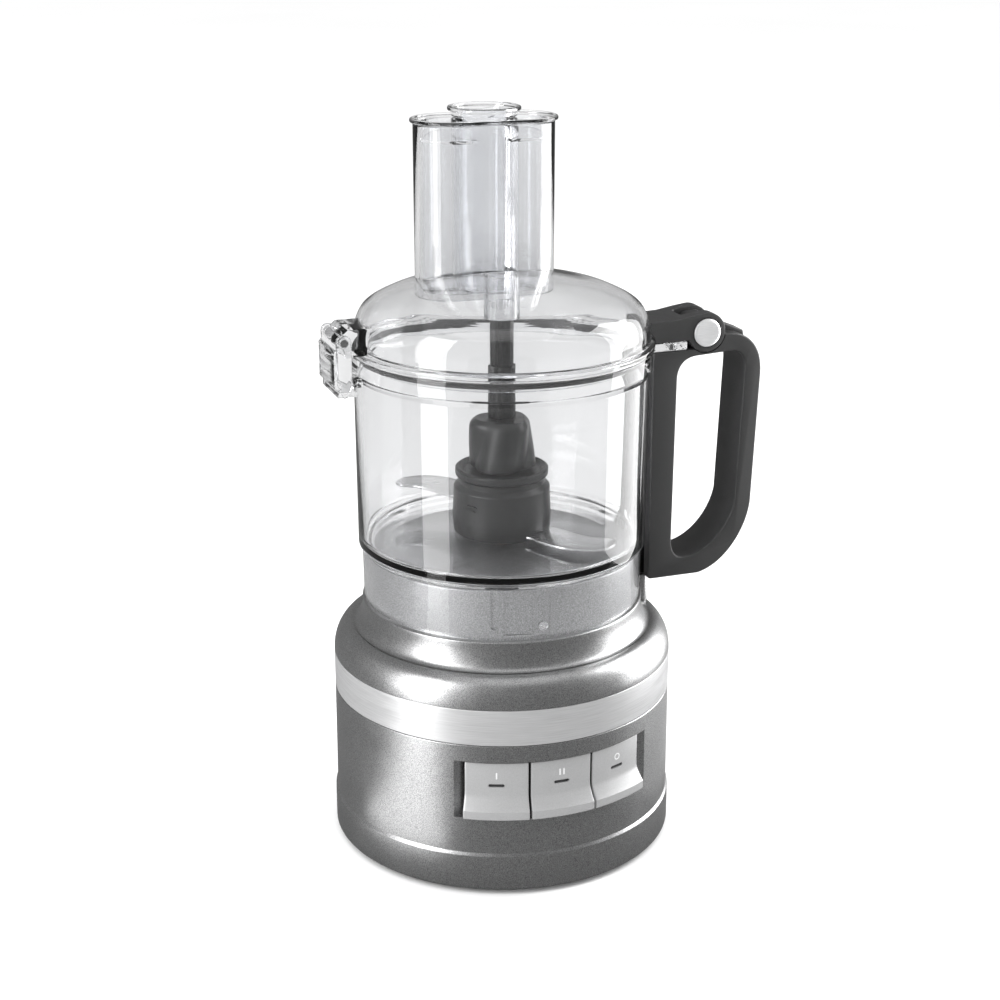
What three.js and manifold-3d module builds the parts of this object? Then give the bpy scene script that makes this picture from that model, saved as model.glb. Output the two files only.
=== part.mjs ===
// Food processor: a motor base with three paddle buttons, a clear bowl with its handle,
// a two-blade knife, a hinged lid with a feed chute, a latch and two nested pushers.
// Millimetres, +Z up. The spindle axis is x = y = 0, the front faces -Y, the handle is at
// +X and the latch at -X. The last lines stand the whole object centred on the origin.
import * as THREE from "three";
import { mergeVertices } from "three/addons/utils/BufferGeometryUtils.js";
import Module from "manifold-3d";

const wasm = await Module();
wasm.setup();

// Driving dimensions -----------------------------------------------------------------

const gap = 0.3; // between any two pieces that touch, seat or are cut for each other
const roundSides = 48; // facets of a full-size ring
const smallSides = 16; // facets of a pin, a boss or a screw

const baseRadius = 93.3;
const bandBottom = 86; // height of the brushed band over the table
const drumRadius = 72.9; // the drum that the bowl sits over
const bowlDepth = 107.9; // from the bowl's floor to its rim

const base = {
  radius: baseRadius,
  wall: 2.6,
  bottom: 2.5,
  skirtRadius: baseRadius + 1.3,
  skirtTop: 23.5,
  bandBottom,
  bandTop: bandBottom + 20.5,
  neckWall: 2.4,
};
const collar = {
  radius: drumRadius + 9.4,
  neckRadius: drumRadius + 4.1,
  bottom: base.bandTop + 16,
  coveHeight: 12,
};
const drum = { radius: drumRadius, wall: 2.5, top: collar.bottom + 42.5 };
const bowlFloor = drum.top + 3.7;
const bowl = {
  skirtBottom: collar.bottom + 15.5,
  floor: bowlFloor,
  floorThickness: 3,
  wall: 2.9,
  radius: drumRadius + 5.5,
  neck: bowlFloor + bowlDepth - 13,
  rim: bowlFloor + bowlDepth,
  rimRadius: drumRadius + 7.7,
  tubeRadius: 15.5,
  tubeTop: drum.top + 39,
};
const lid = {
  thickness: 2.5,
  flangeRadius: bowl.rimRadius + 1,
  flangeThickness: 3,
  crown: bowl.rim + 38.4,
};
const chute = {
  y: 27,
  halfWidth: 38.5,
  halfDepth: 21,
  wall: 2.6,
  skirt: bowl.rim + 22.4,
  top: bowl.rim + 114.4,
};
const pusher = { wall: 2.2, smallRadius: 15.5, lipRadius: 19.5, top: chute.top + 8 };
const handle = {
  back: bowl.radius + 3.9,
  reach: bowl.radius + 69.6,
  bottom: bowl.skirtBottom - 0.8,
  top: bowl.rim - 1.2,
  width: 28,
  bar: 10,
};
const hinge = {
  x: handle.back + 31.7,
  z: bowl.rim + 0.4,
  earRadius: 11,
  pinRadius: 3,
  knuckleWidth: 12,
  capRadius: 7.7,
};
const latch = {
  x: -(bowl.rimRadius + 10.3),
  z: bowl.rim + 11.9,
  halfWidth: 16.3,
  cheek: 3,
  bottom: bowl.rim - 17.2,
  pinRadius: 2,
};
const column = { outer: bowl.radius + 7.6, halfWidth: 8 };
const rod = { inner: bowl.radius + 3.3, outer: bowl.radius + 5.7, halfWidth: 2.9 };
const plunger = {
  radius: (rod.outer - rod.inner) / 2,
  bottom: base.bandTop - 2.5,
  x: (rod.inner + rod.outer) / 2,
};
const button = {
  count: 3,
  pitch: 21.7,
  width: 20.9,
  bottom: bandBottom - 41,
  lipTop: bandBottom - 35.8,
  top: bandBottom - 10,
};
const chassis = {
  radius: baseRadius - base.wall - base.neckWall - 0.9,
  bottom: bandBottom - 6,
  thickness: 3,
};
const gears = { centres: 50, spindleTeeth: 40, motorTeeth: 10, bottom: chassis.bottom + 6, height: 8 };
const gearModule = (2 * gears.centres) / (gears.spindleTeeth + gears.motorTeeth);
const motor = { radius: 30, bottom: 18, wall: 2, shaftRadius: 4, armatureRadius: 21 };
const spindle = {
  radius: 5,
  bottom: chassis.bottom - 4,
  couplingRadius: 9,
  top: bowl.tubeTop + 22,
};
const hubTop = bowl.tubeTop + 5.5;
const hub = {
  radius: bowl.tubeRadius + 11.5,
  bottom: bowl.floor + bowl.floorThickness + 0.9,
  shoulder: hubTop - 9.5,
  top: hubTop,
  flangeRadius: bowl.tubeRadius + 9.8,
};
const blade = {
  tip: bowl.radius - 10.4,
  rootWidth: 22,
  thickness: 1.6,
  upperHeight: hub.bottom + 15.4,
  lowerHeight: hub.bottom + 1.8,
};
const foot = { radius: 9, ring: baseRadius - 19.3 };
const coverScrew = { ring: baseRadius - 13.3, headRadius: 3.8, shankRadius: 2 };

// Shapes -----------------------------------------------------------------------------

function toSolid(geometry) {
  const bare = geometry.index ? geometry.toNonIndexed() : geometry.clone();
  bare.deleteAttribute("normal");
  bare.deleteAttribute("uv");
  const welded = mergeVertices(bare, 1e-4);
  const corners = welded.index.array;
  const kept = [];
  for (let i = 0; i < corners.length; i += 3) {
    const [a, b, c] = [corners[i], corners[i + 1], corners[i + 2]];
    if (a !== b && b !== c && c !== a) kept.push(a, b, c);
  }
  const vertProperties = new Float32Array(welded.attributes.position.array);
  const triVerts = new Uint32Array(kept);
  return new wasm.Manifold(new wasm.Mesh({ numProp: 3, vertProperties, triVerts }));
}

// A ring or disc turned about Z from [radius, height] points, listed counter-clockwise.
function turned(profile, sides = roundSides) {
  const points = profile.map(([radius, height]) => new THREE.Vector2(radius, height));
  const open = points[0].x > 0 || points[points.length - 1].x > 0;
  if (open) points.push(points[0].clone());
  return toSolid(new THREE.LatheGeometry(points, sides).rotateX(Math.PI / 2));
}

function block([x0, x1], [y0, y1], [z0, z1]) {
  const geometry = new THREE.BoxGeometry(x1 - x0, y1 - y0, z1 - z0);
  return toSolid(geometry.translate((x0 + x1) / 2, (y0 + y1) / 2, (z0 + z1) / 2));
}

function post(radius, [z0, z1], x = 0, y = 0, sides = smallSides) {
  const geometry = new THREE.CylinderGeometry(radius, radius, z1 - z0, sides);
  return toSolid(geometry.rotateX(Math.PI / 2).translate(x, y, (z0 + z1) / 2));
}

function crossPin(radius, [y0, y1], x, z, sides = smallSides) {
  const geometry = new THREE.CylinderGeometry(radius, radius, y1 - y0, sides);
  return toSolid(geometry.translate(x, (y0 + y1) / 2, z));
}

function plate(shape, [z0, z1], curveSegments = 6) {
  const settings = { depth: z1 - z0, bevelEnabled: false, curveSegments };
  return toSolid(new THREE.ExtrudeGeometry(shape, settings).translate(0, 0, z0));
}

// A side view, drawn with its shape's x along X and its y along Z, made [y0, y1] wide.
function sideView(shape, [y0, y1], bevel = 0) {
  const settings = {
    depth: y1 - y0 - 2 * bevel,
    curveSegments: 8,
    bevelEnabled: bevel > 0,
    bevelThickness: bevel,
    bevelSize: bevel,
    bevelOffset: -bevel,
    bevelSegments: 2,
  };
  const geometry = new THREE.ExtrudeGeometry(shape, settings);
  return toSolid(geometry.rotateX(Math.PI / 2).translate(0, y1 - bevel, 0));
}

function outline(points) {
  return new THREE.Shape(points.map(([x, y]) => new THREE.Vector2(x, y)));
}

// A rectangle with round ends, long along X.
function stadium(halfLength, halfHeight, x = 0, y = 0) {
  const straight = halfLength - halfHeight;
  const shape = new THREE.Shape();
  shape.absarc(x + straight, y, halfHeight, -Math.PI / 2, Math.PI / 2);
  shape.absarc(x - straight, y, halfHeight, Math.PI / 2, (3 * Math.PI) / 2);
  return shape;
}

// Directions in plan are in degrees from the front (-Y), turning towards +X.
function aim(degrees, radius) {
  const angle = THREE.MathUtils.degToRad(degrees);
  return [radius * Math.sin(angle), -radius * Math.cos(angle)];
}

// The part of a turned ring that lies within halfAngle of a direction.
function sector(ring, direction, halfAngle) {
  const reach = (2 * base.radius) / Math.cos(THREE.MathUtils.degToRad(halfAngle));
  const corners = [[0, 0], aim(direction - halfAngle, reach), aim(direction + halfAngle, reach)];
  return ring.intersect(plate(outline(corners), [-1, pusher.top]));
}

function quarter(count, point) {
  const points = [];
  for (let i = 0; i <= count; i++) points.push(point((i / count) * (Math.PI / 2)));
  return points;
}

function gearOutline(teeth) {
  const pitchRadius = (gearModule * teeth) / 2;
  const tip = pitchRadius + 0.7 * gearModule;
  const root = pitchRadius - gearModule;
  const corners = [];
  for (let i = 0; i < teeth; i++) {
    for (const [radius, share] of [[root, -0.28], [tip, -0.11], [tip, 0.11], [root, 0.28]]) {
      const angle = ((i + share) * 2 * Math.PI) / teeth;
      corners.push([radius * Math.cos(angle), radius * Math.sin(angle)]);
    }
  }
  return outline(corners);
}

function fluted(outer, inner, flutes) {
  const corners = [];
  for (let i = 0; i < 4 * flutes; i++) {
    const radius = i % 4 < 2 ? outer : inner;
    const angle = (i * Math.PI) / (2 * flutes);
    corners.push([radius * Math.cos(angle), radius * Math.sin(angle)]);
  }
  return outline(corners);
}

// Finishes ---------------------------------------------------------------------------

function finish(color, roughness, metalness, opacity = 1) {
  const transparent = opacity < 1;
  const look = { color, roughness, metalness, opacity, transparent };
  return () => new THREE.MeshStandardMaterial(look);
}
const silverPaint = finish(0xb2b3b6, 0.34, 0.75);
const brushedBand = finish(0xc9cacc, 0.3, 0.9);
const satinGrey = finish(0xa9aaac, 0.45, 0.2);
const softGrey = finish(0x48494b, 0.62, 0);
const clearPlastic = finish(0xf2f5f6, 0.05, 0, 0.35);
const blackPlastic = finish(0x1d1e1f, 0.55, 0);
const steel = finish(0xb9bcbf, 0.22, 1);
const rubber = finish(0x2b2b2c, 0.85, 0);
const nylon = finish(0xe4e1d8, 0.5, 0);
const copper = finish(0x8d5a3c, 0.4, 0.7);
const boardGreen = finish(0x2f5a3d, 0.6, 0);

// Assembly helpers -------------------------------------------------------------------

const foodProcessor = new THREE.Group();

function body() {
  const group = new THREE.Group();
  foodProcessor.add(group);
  return group;
}

function addPart(group, name, solid, material) {
  const { vertProperties, triVerts, numProp } = solid.getMesh();
  const geometry = new THREE.BufferGeometry();
  const positions = new THREE.InterleavedBuffer(vertProperties, numProp);
  geometry.setAttribute("position", new THREE.InterleavedBufferAttribute(positions, 3, 0));
  geometry.setIndex(new THREE.BufferAttribute(triVerts, 1));
  const mesh = new THREE.Mesh(geometry.toNonIndexed(), material());
  mesh.geometry.computeVertexNormals();
  mesh.name = name;
  group.add(mesh);
}

// Base casing ------------------------------------------------------------------------

const baseInner = base.radius - base.wall;
const neckOuter = baseInner - gap / 2;
const neckInner = neckOuter - base.neckWall;
const windowHalfAngle = (button.count * button.pitch) / 2 + 0.9;
const cordBush = { radius: 6, bore: 3.6, z: 14, inner: baseInner - 6.7, outer: base.skirtRadius + 1.4 };
const switchPost = {
  inner: collar.neckRadius + 0.8,
  outer: column.outer + 0.2,
  halfWidth: column.halfWidth - 0.5,
  bottom: base.bandTop + 5.5,
  top: bowl.skirtBottom - gap,
};

function postPocket() {
  const { inner, outer, halfWidth, bottom, top } = switchPost;
  const width = [-halfWidth - gap, halfWidth + gap];
  return block([inner - gap, outer + gap], width, [bottom - 2, top + 2]);
}

function cordHole(radius) {
  return crossPin(radius, [cordBush.inner - 2, cordBush.outer + 2], 0, cordBush.z);
}

function baseHousing() {
  const neckTop = base.bandTop - 2;
  const shell = turned([
    [baseInner, base.bottom],
    [base.skirtRadius, base.bottom],
    [base.skirtRadius, base.skirtTop - 0.8],
    [base.radius + 0.2, base.skirtTop + 0.8],
    [base.radius, base.bandBottom],
    [neckOuter, base.bandBottom],
    [neckOuter, neckTop],
    [neckInner, neckTop],
    [neckInner, base.bandBottom - 3.5],
    [baseInner, base.bandBottom - 6],
  ]);
  const windowRing = turned([
    [baseInner - 2, button.bottom - 0.8],
    [base.radius + 2, button.bottom - 0.8],
    [base.radius + 2, button.top + 0.8],
    [baseInner - 2, button.top + 0.8],
  ]);
  const buttonWindow = sector(windowRing, 0, windowHalfAngle);
  return shell.subtract(buttonWindow).subtract(cordHole(cordBush.radius + gap));
}

function trimBand() {
  const inner = neckOuter + gap;
  return turned([
    [inner, base.bandBottom + gap],
    [base.radius, base.bandBottom + gap],
    [base.radius, base.bandTop - gap],
    [inner, base.bandTop - gap],
  ]);
}

function shoulderCover() {
  const run = base.radius - collar.radius;
  const rise = collar.bottom - gap - base.bandTop;
  const curve = (inset) => (angle) => [
    collar.radius - inset + run * Math.cos(angle),
    base.bandTop + (rise - inset) * Math.sin(angle),
  ];
  const outside = quarter(7, curve(0));
  const inside = quarter(3, curve(base.wall)).reverse();
  return turned([...outside, ...inside]).subtract(postPocket());
}

function bowlSeat() {
  const { radius, bottom, coveHeight, neckRadius } = collar;
  const deck = bowl.skirtBottom - 0.7;
  const cove = (inset) => (angle) => [
    neckRadius - inset + (radius - neckRadius) * (1 - Math.sin(angle)),
    bottom + coveHeight * (1 - Math.cos(angle)),
  ];
  const drumInner = drum.radius - drum.wall;
  const bearing = { bore: spindle.couplingRadius + 0.2, wall: 3, depth: 9 };
  const shell = turned([
    ...quarter(5, cove(0)),
    [neckRadius, deck],
    [drum.radius, deck],
    [drum.radius, drum.top],
    [bearing.bore, drum.top],
    [bearing.bore, drum.top - bearing.depth],
    [bearing.bore + bearing.wall, drum.top - bearing.depth],
    [bearing.bore + bearing.wall, drum.top - drum.wall],
    [drumInner, drum.top - drum.wall],
    [drumInner, deck - drum.wall],
    ...quarter(3, cove(base.wall)).reverse(),
  ]);
  return shell.subtract(postPocket()).subtract(drumSlot()).subtract(drumPanel());
}

const drumMarks = { slot: -23, panel: -13, panelHalfAngle: 6.6 };

function drumSlot() {
  const [x, y] = aim(drumMarks.slot, drum.radius);
  return post(2.3, [bowl.skirtBottom + 4, drum.top + 1], x, y, 16);
}

function drumPanel() {
  const ring = turned([
    [drum.radius - 1, bowl.skirtBottom + 3],
    [drum.radius + 1, bowl.skirtBottom + 3],
    [drum.radius + 1, drum.top - 4],
    [drum.radius - 1, drum.top - 4],
  ]);
  return sector(ring, drumMarks.panel, drumMarks.panelHalfAngle);
}

function bottomCover() {
  const top = base.bottom + 3;
  let cover = post(baseInner - gap, [base.bottom + 0.5, top], 0, 0, roundSides);
  for (const turn of quarterTurns) {
    const [x, y] = aim(turn, coverScrew.ring);
    cover = cover.subtract(post(coverScrew.shankRadius + gap, [0, top + 1], x, y));
  }
  for (let slot = -3; slot <= 3; slot++) {
    const vent = stadium(20, 1.5, 0, slot * 7);
    cover = cover.subtract(plate(vent, [0, top + 1], 4));
  }
  return cover;
}

const quarterTurns = [0, 90, 180, 270];

function rubberFoot(direction) {
  const [x, y] = aim(direction, foot.ring);
  return post(foot.radius, [0, base.bottom + 0.5 - gap], x, y);
}

function bottomScrew(direction) {
  const [x, y] = aim(direction, coverScrew.ring);
  const under = base.bottom + 0.5 - gap;
  const head = post(coverScrew.headRadius, [under - 1.8, under], x, y);
  return head.add(post(coverScrew.shankRadius, [under - 1, under + 12], x, y, 16));
}

function cordInletBush() {
  const ring = crossPin(cordBush.radius, [cordBush.inner, cordBush.outer], 0, cordBush.z);
  const flange = crossPin(cordBush.radius + 2, [cordBush.inner, baseInner - 2], 0, cordBush.z);
  return ring.add(flange).subtract(cordHole(cordBush.bore));
}

// Buttons and their switches ---------------------------------------------------------

const bezel = { inner: baseInner - 5.3, outer: baseInner - 2.7 };
const prong = {
  reach: baseInner - 8.2,
  halfWidth: 3,
  bottom: button.bottom + 5,
  top: button.bottom + 9,
};
const switchBoardOuter = baseInner - 18.1;
const buttonBack = baseInner + 0.3;

function buttonDirection(index) {
  return (index - (button.count - 1) / 2) * button.pitch;
}

function prongBlock(direction, clearance, [inner, outer]) {
  const half = prong.halfWidth + clearance;
  const height = prong.top - prong.bottom + 2 * clearance;
  const geometry = new THREE.BoxGeometry(2 * half, outer - inner, height);
  geometry.translate(0, -(inner + outer) / 2, (prong.top + prong.bottom) / 2);
  return toSolid(geometry.rotateZ(THREE.MathUtils.degToRad(direction)));
}

function paddleButton(index) {
  const face = base.radius + 0.5;
  const lip = base.radius + 3.6;
  const ring = turned([
    [buttonBack, button.bottom],
    [lip - 1, button.bottom],
    [lip, button.bottom + 1.5],
    [lip - 0.3, button.lipTop],
    [face + 0.6, button.lipTop + 8.2],
    [face, button.top - 0.6],
    [face - 0.6, button.top],
    [buttonBack, button.top],
  ], 2 * roundSides);
  const direction = buttonDirection(index);
  const paddle = sector(ring, direction, button.width / 2);
  const mark = post(1, [button.lipTop + 9, button.top + 1], ...aim(direction, face + 1.3), 4);
  return paddle.subtract(mark).add(prongBlock(direction, 0, [prong.reach, buttonBack + 1]));
}

function buttonBezel() {
  const ring = turned([
    [bezel.inner, button.bottom - 3],
    [bezel.outer, button.bottom - 3],
    [bezel.outer, button.top + 3],
    [bezel.inner, button.top + 3],
  ]);
  let frame = sector(ring, 0, windowHalfAngle + 2.5);
  for (let i = 0; i < button.count; i++) {
    const passage = prongBlock(buttonDirection(i), 1.2, [bezel.inner - 2, bezel.outer + 2]);
    frame = frame.subtract(passage);
  }
  return frame;
}

function switchBoard() {
  const ring = turned([
    [switchBoardOuter - 1.6, button.bottom],
    [switchBoardOuter, button.bottom],
    [switchBoardOuter, button.top],
    [switchBoardOuter - 1.6, button.top],
  ]);
  let board = sector(ring, 0, windowHalfAngle);
  for (let i = 0; i < button.count; i++) {
    const room = [switchBoardOuter - 0.6, prong.reach - 2.4];
    board = board.add(prongBlock(buttonDirection(i), 0.5, room));
  }
  return board;
}

function controlBoard() {
  const board = block([-35, 35], [-32, -30.4], [15, 60]);
  const transformer = block([-28, -8], [-50, -31], [20, 40]);
  const capacitor = crossPin(7, [-50, -31], 12, 38);
  const relay = block([22, 32], [-42, -31], [22, 36]);
  return board.add(transformer).add(capacitor).add(relay);
}

// Motor and drive --------------------------------------------------------------------

const gearCentres = gears.centres + gap;
const motorTop = chassis.bottom - gap;
const gearTop = gears.bottom + gears.height;

function chassisPlate() {
  const top = chassis.bottom + chassis.thickness;
  const disc = post(chassis.radius, [chassis.bottom, top], 0, 0, roundSides);
  const boss = post(spindle.radius + 7, [chassis.bottom - 6, top + 2]);
  const shaftHole = post(motor.shaftRadius + 2.5, [0, base.bandTop], 0, gearCentres);
  const bearingBore = post(spindle.couplingRadius + 0.2, [0, base.bandTop]);
  const frontRelief = plate(stadium(66, 24, 0, -chassis.radius), [0, base.bandTop]);
  return disc.add(boss).subtract(shaftHole).subtract(bearingBore).subtract(frontRelief);
}

function motorCan() {
  const { radius, bottom, wall, shaftRadius } = motor;
  const outside = post(radius, [bottom, motorTop], 0, gearCentres, 32);
  const inside = post(radius - wall, [bottom + wall, motorTop - wall], 0, gearCentres, 32);
  const shaftHole = post(shaftRadius + 1, [0, base.bandTop], 0, gearCentres);
  let can = outside.subtract(inside).subtract(shaftHole);
  for (const height of [bottom + 12, motorTop - 16]) {
    const width = [gearCentres - 5, gearCentres + 5];
    can = can.subtract(block([-radius - 1, radius + 1], width, [height, height + 6]));
  }
  return can;
}

function motorRotor() {
  const { bottom, wall, shaftRadius, armatureRadius } = motor;
  const shaft = post(shaftRadius, [bottom - 11, gears.bottom - gap], 0, gearCentres);
  const tail = post(shaftRadius - 1, [gears.bottom - 1, gearTop], 0, gearCentres);
  const stack = [bottom + wall + 14, motorTop - wall - 6];
  const armature = post(armatureRadius, stack, 0, gearCentres, 32);
  const brushEnd = [bottom + wall + 3, bottom + wall + 12];
  const commutator = post(armatureRadius / 2, brushEnd, 0, gearCentres);
  return shaft.add(tail).add(armature).add(commutator);
}

function motorFan() {
  const top = motor.bottom - 2;
  const bore = post(motor.shaftRadius + gap / 2, [0, top + 1], 0, gearCentres);
  let fan = post(motor.shaftRadius + 3, [top - 7, top], 0, gearCentres);
  fan = fan.add(post(motor.radius - 5, [top - 1.2, top], 0, gearCentres, 36));
  for (let i = 0; i < 8; i++) {
    const vane = new THREE.BoxGeometry(17, 1.2, 6);
    vane.translate(15, 0, top - 4).rotateZ((i * Math.PI) / 4).translate(0, gearCentres, 0);
    fan = fan.add(toSolid(vane));
  }
  return fan.subtract(bore);
}

function motorPinion() {
  const geometry = new THREE.ExtrudeGeometry(gearOutline(gears.motorTeeth), {
    depth: gears.height,
    bevelEnabled: false,
  });
  const teeth = toSolid(geometry.translate(0, gearCentres, gears.bottom));
  return teeth.subtract(post(motor.shaftRadius - 1 + gap / 2, [0, base.bandTop], 0, gearCentres));
}

function drivenGear() {
  const teeth = plate(gearOutline(gears.spindleTeeth), [gears.bottom, gearTop]);
  const web = turned([
    [13, gears.bottom + 5],
    [33, gears.bottom + 5],
    [33, gearTop + 1],
    [13, gearTop + 1],
  ], 32);
  return teeth.subtract(web).subtract(post(spindle.radius + gap / 2, [0, base.bandTop]));
}

function driveSpindle() {
  return post(spindle.radius, [spindle.bottom, spindle.top - 12]);
}

function driveCoupling() {
  const { couplingRadius, radius, top } = spindle;
  const splines = plate(fluted(couplingRadius, couplingRadius - 1, 8), [drum.top + 1.5, top]);
  return splines.subtract(post(radius + gap / 2, [0, top - 11]));
}

function bearing([z0, z1]) {
  const ring = post(spindle.couplingRadius - gap / 2, [z0, z1]);
  return ring.subtract(post(spindle.radius + gap / 2, [z0 - 1, z1 + 1]));
}

// Lid interlock ----------------------------------------------------------------------

const plungerCollar = { radius: 3, bottom: switchPost.bottom + 10, top: switchPost.bottom + 12 };

function interlockPost() {
  const { inner, outer, halfWidth, bottom, top } = switchPost;
  const radius = halfWidth;
  const pillar = block([inner, outer], [-halfWidth, halfWidth], [bottom, top]);
  const rounding = post(radius + 1.2, [bottom, top], outer - radius - 0.8, 0, 32);
  const chamber = post(plungerCollar.radius + gap, [bottom + 1.5, top - 2], plunger.x);
  const passage = post(plunger.radius + gap, [bottom - 1, top + 1], plunger.x);
  return pillar.intersect(rounding).subtract(chamber).subtract(passage);
}

function interlockPlunger() {
  const { radius, bottom, top } = plungerCollar;
  const stem = post(plunger.radius, [plunger.bottom, switchPost.top], plunger.x);
  return stem.add(post(radius, [bottom, top], plunger.x));
}

class Coil extends THREE.Curve {
  constructor(radius, low, high, turns) {
    super();
    Object.assign(this, { radius, low, high, turns });
  }

  getPoint(t, target = new THREE.Vector3()) {
    const angle = 2 * Math.PI * this.turns * t;
    const height = this.low + (this.high - this.low) * t;
    return target.set(this.radius * Math.cos(angle), this.radius * Math.sin(angle), height);
  }
}

function interlockSpring() {
  const wire = 0.35;
  const radius = plungerCollar.radius - wire;
  const turns = 4;
  const low = switchPost.bottom + 1.5 + gap + wire;
  const path = new Coil(radius, low, plungerCollar.bottom - gap - wire, turns);
  const section = new THREE.Shape().absarc(0, 0, wire, 0, 2 * Math.PI);
  const settings = { steps: 12 * turns, curveSegments: 3, extrudePath: path };
  return toSolid(new THREE.ExtrudeGeometry(section, settings).translate(plunger.x, 0, 0));
}

function interlockSwitch() {
  const depth = [base.bandBottom + 6, plunger.bottom - gap];
  return block([switchPost.inner, switchPost.outer], [-6, 6], depth);
}

function interlockRod() {
  return block(
    [rod.inner, rod.outer],
    [-rod.halfWidth, rod.halfWidth],
    [switchPost.top + gap, strap.top + 0.2],
  );
}

// Bowl and handle --------------------------------------------------------------------

const strap = {
  bottom: bowl.rim - 8.2,
  top: bowl.rim - 3.8,
  end: hinge.x - hinge.earRadius,
  halfWidth: handle.width / 2 - 0.2,
};
const catchLug = {
  outer: bowl.rimRadius + 3.4,
  halfWidth: 9,
  bottom: bowl.rim - 14,
  top: bowl.rim - 9.2,
};
const skirtInner = drum.radius + 0.6;
const skirtOuter = skirtInner + 2.4;
const bowlTop = bowl.floor + bowl.floorThickness;

function clearBowl() {
  const inner = bowl.radius - bowl.wall;
  const tubeInner = bowl.tubeRadius - bowl.wall;
  const rimInner = bowl.rimRadius - 2.7;
  const shell = turned([
    [skirtInner, bowl.skirtBottom],
    [skirtOuter, bowl.skirtBottom],
    [skirtOuter + 0.5, bowl.floor - 2],
    [bowl.radius, bowl.floor],
    [bowl.radius + 0.6, bowl.neck],
    [bowl.rimRadius, bowl.neck + 3],
    [bowl.rimRadius, bowl.rim],
    [rimInner, bowl.rim],
    [rimInner, bowl.neck + 3.4],
    [inner + 0.6, bowl.neck],
    [inner, bowlTop + 3],
    [inner - 3, bowlTop],
    [bowl.tubeRadius, bowlTop],
    [bowl.tubeRadius, bowl.tubeTop],
    [tubeInner, bowl.tubeTop],
    [tubeInner, bowl.floor],
    [skirtInner, bowl.floor],
  ]);
  const { outer, halfWidth } = column;
  const width = [-halfWidth, halfWidth];
  const upperColumn = block([inner + 2, outer], width, [bowl.floor + 1, strap.bottom + 1]);
  const lowerColumn = block([skirtInner + 1.4, outer], width, [bowl.skirtBottom, bowl.floor + 2]);
  const strapWidth = [-strap.halfWidth, strap.halfWidth];
  const strapBar = block([rimInner + 1.3, strap.end], strapWidth, [strap.bottom, strap.top]);
  const lugWidth = [-catchLug.halfWidth, catchLug.halfWidth];
  const lug = block([-catchLug.outer, -rimInner - 1], lugWidth, [catchLug.bottom, catchLug.top]);
  const rodSlot = block(
    [rod.inner - gap, rod.outer + gap],
    [-rod.halfWidth - gap, rod.halfWidth + gap],
    [bowl.skirtBottom - 1, bowl.rim],
  );
  const screwDepth = [-handle.width, strapScrew.end + gap];
  const screwHole = crossPin(strapScrew.radius + gap, screwDepth, strapScrew.x, strapScrew.z);
  const whole = shell.add(upperColumn).add(lowerColumn).add(strapBar).add(lug);
  return whole.subtract(rodSlot).subtract(screwHole).subtract(earRelief());
}

const strapScrew = { x: strap.end - 10, z: (strap.bottom + strap.top) / 2, radius: 1.5, end: -7 };

function strapScrewPiece() {
  const depth = [-strap.halfWidth - 0.1, strapScrew.end];
  return crossPin(strapScrew.radius, depth, strapScrew.x, strapScrew.z);
}

// Room for the two hinge ears, one each side of the handle's knuckle.
function earRelief() {
  const radius = hinge.earRadius + gap + 0.1;
  const inner = hinge.knuckleWidth / 2 + gap;
  const left = crossPin(radius, [-handle.width, -inner], hinge.x, hinge.z, 36);
  return left.add(crossPin(radius, [inner, handle.width], hinge.x, hinge.z, 36));
}

function handleOutline() {
  const { back, reach, bottom, top, bar } = handle;
  const shape = new THREE.Shape();
  shape.moveTo(back, bottom);
  shape.lineTo(back + 31, bottom);
  shape.bezierCurveTo(reach - 18, bottom + 3, reach - 5, bottom + 22, reach - 3, bottom + 39);
  shape.lineTo(reach, top - 24);
  shape.bezierCurveTo(reach + 0.4, top - 9, reach - 8, top, reach - 20, top);
  shape.lineTo(hinge.x - 4, top);
  shape.lineTo(hinge.x - 5, strap.bottom - gap);
  shape.lineTo(back, strap.bottom - gap);
  const inner = new THREE.Path();
  const left = back + 14;
  const right = reach - bar;
  const ceiling = top - bar - 1;
  const floor = bottom + 11;
  inner.moveTo(left, floor + 12);
  inner.lineTo(left + 0.8, ceiling - 12);
  inner.quadraticCurveTo(left + 1.6, ceiling, left + 14, ceiling);
  inner.lineTo(right - 9, ceiling + 1);
  inner.quadraticCurveTo(right, ceiling + 1, right, ceiling - 9);
  inner.lineTo(right - 3, floor + 30);
  inner.bezierCurveTo(right - 6, floor + 14, right - 20, floor, left + 8, floor);
  inner.quadraticCurveTo(left, floor, left, floor + 12);
  shape.holes.push(inner);
  return shape;
}

function handleGrip() {
  const half = handle.width / 2;
  const loop = sideView(handleOutline(), [-half, half], 1.6);
  const knuckleHalf = hinge.knuckleWidth / 2;
  const knuckleRadius = 8.8;
  const foot = handle.top - 6;
  const ramp = sideView(outline([
    [hinge.x - knuckleRadius, foot],
    [hinge.x + 27, foot],
    [hinge.x + 24, handle.top - 0.5],
    [hinge.x + 5, hinge.z + knuckleRadius - 1.6],
    [hinge.x, hinge.z + knuckleRadius - 0.2],
    [hinge.x - knuckleRadius, hinge.z],
  ]), [-knuckleHalf, knuckleHalf]);
  const barrel = crossPin(knuckleRadius, [-knuckleHalf, knuckleHalf], hinge.x, hinge.z);
  const bore = crossPin(hinge.pinRadius + gap, [-half, half], hinge.x, hinge.z);
  const channel = block(
    [handle.back - 3, column.outer + gap + 0.1],
    [-column.halfWidth - gap, column.halfWidth + gap],
    [handle.bottom - 5, strap.bottom + 5],
  );
  return loop.subtract(channel).subtract(earRelief()).add(ramp).add(barrel).subtract(bore);
}

// Blade ------------------------------------------------------------------------------

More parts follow.
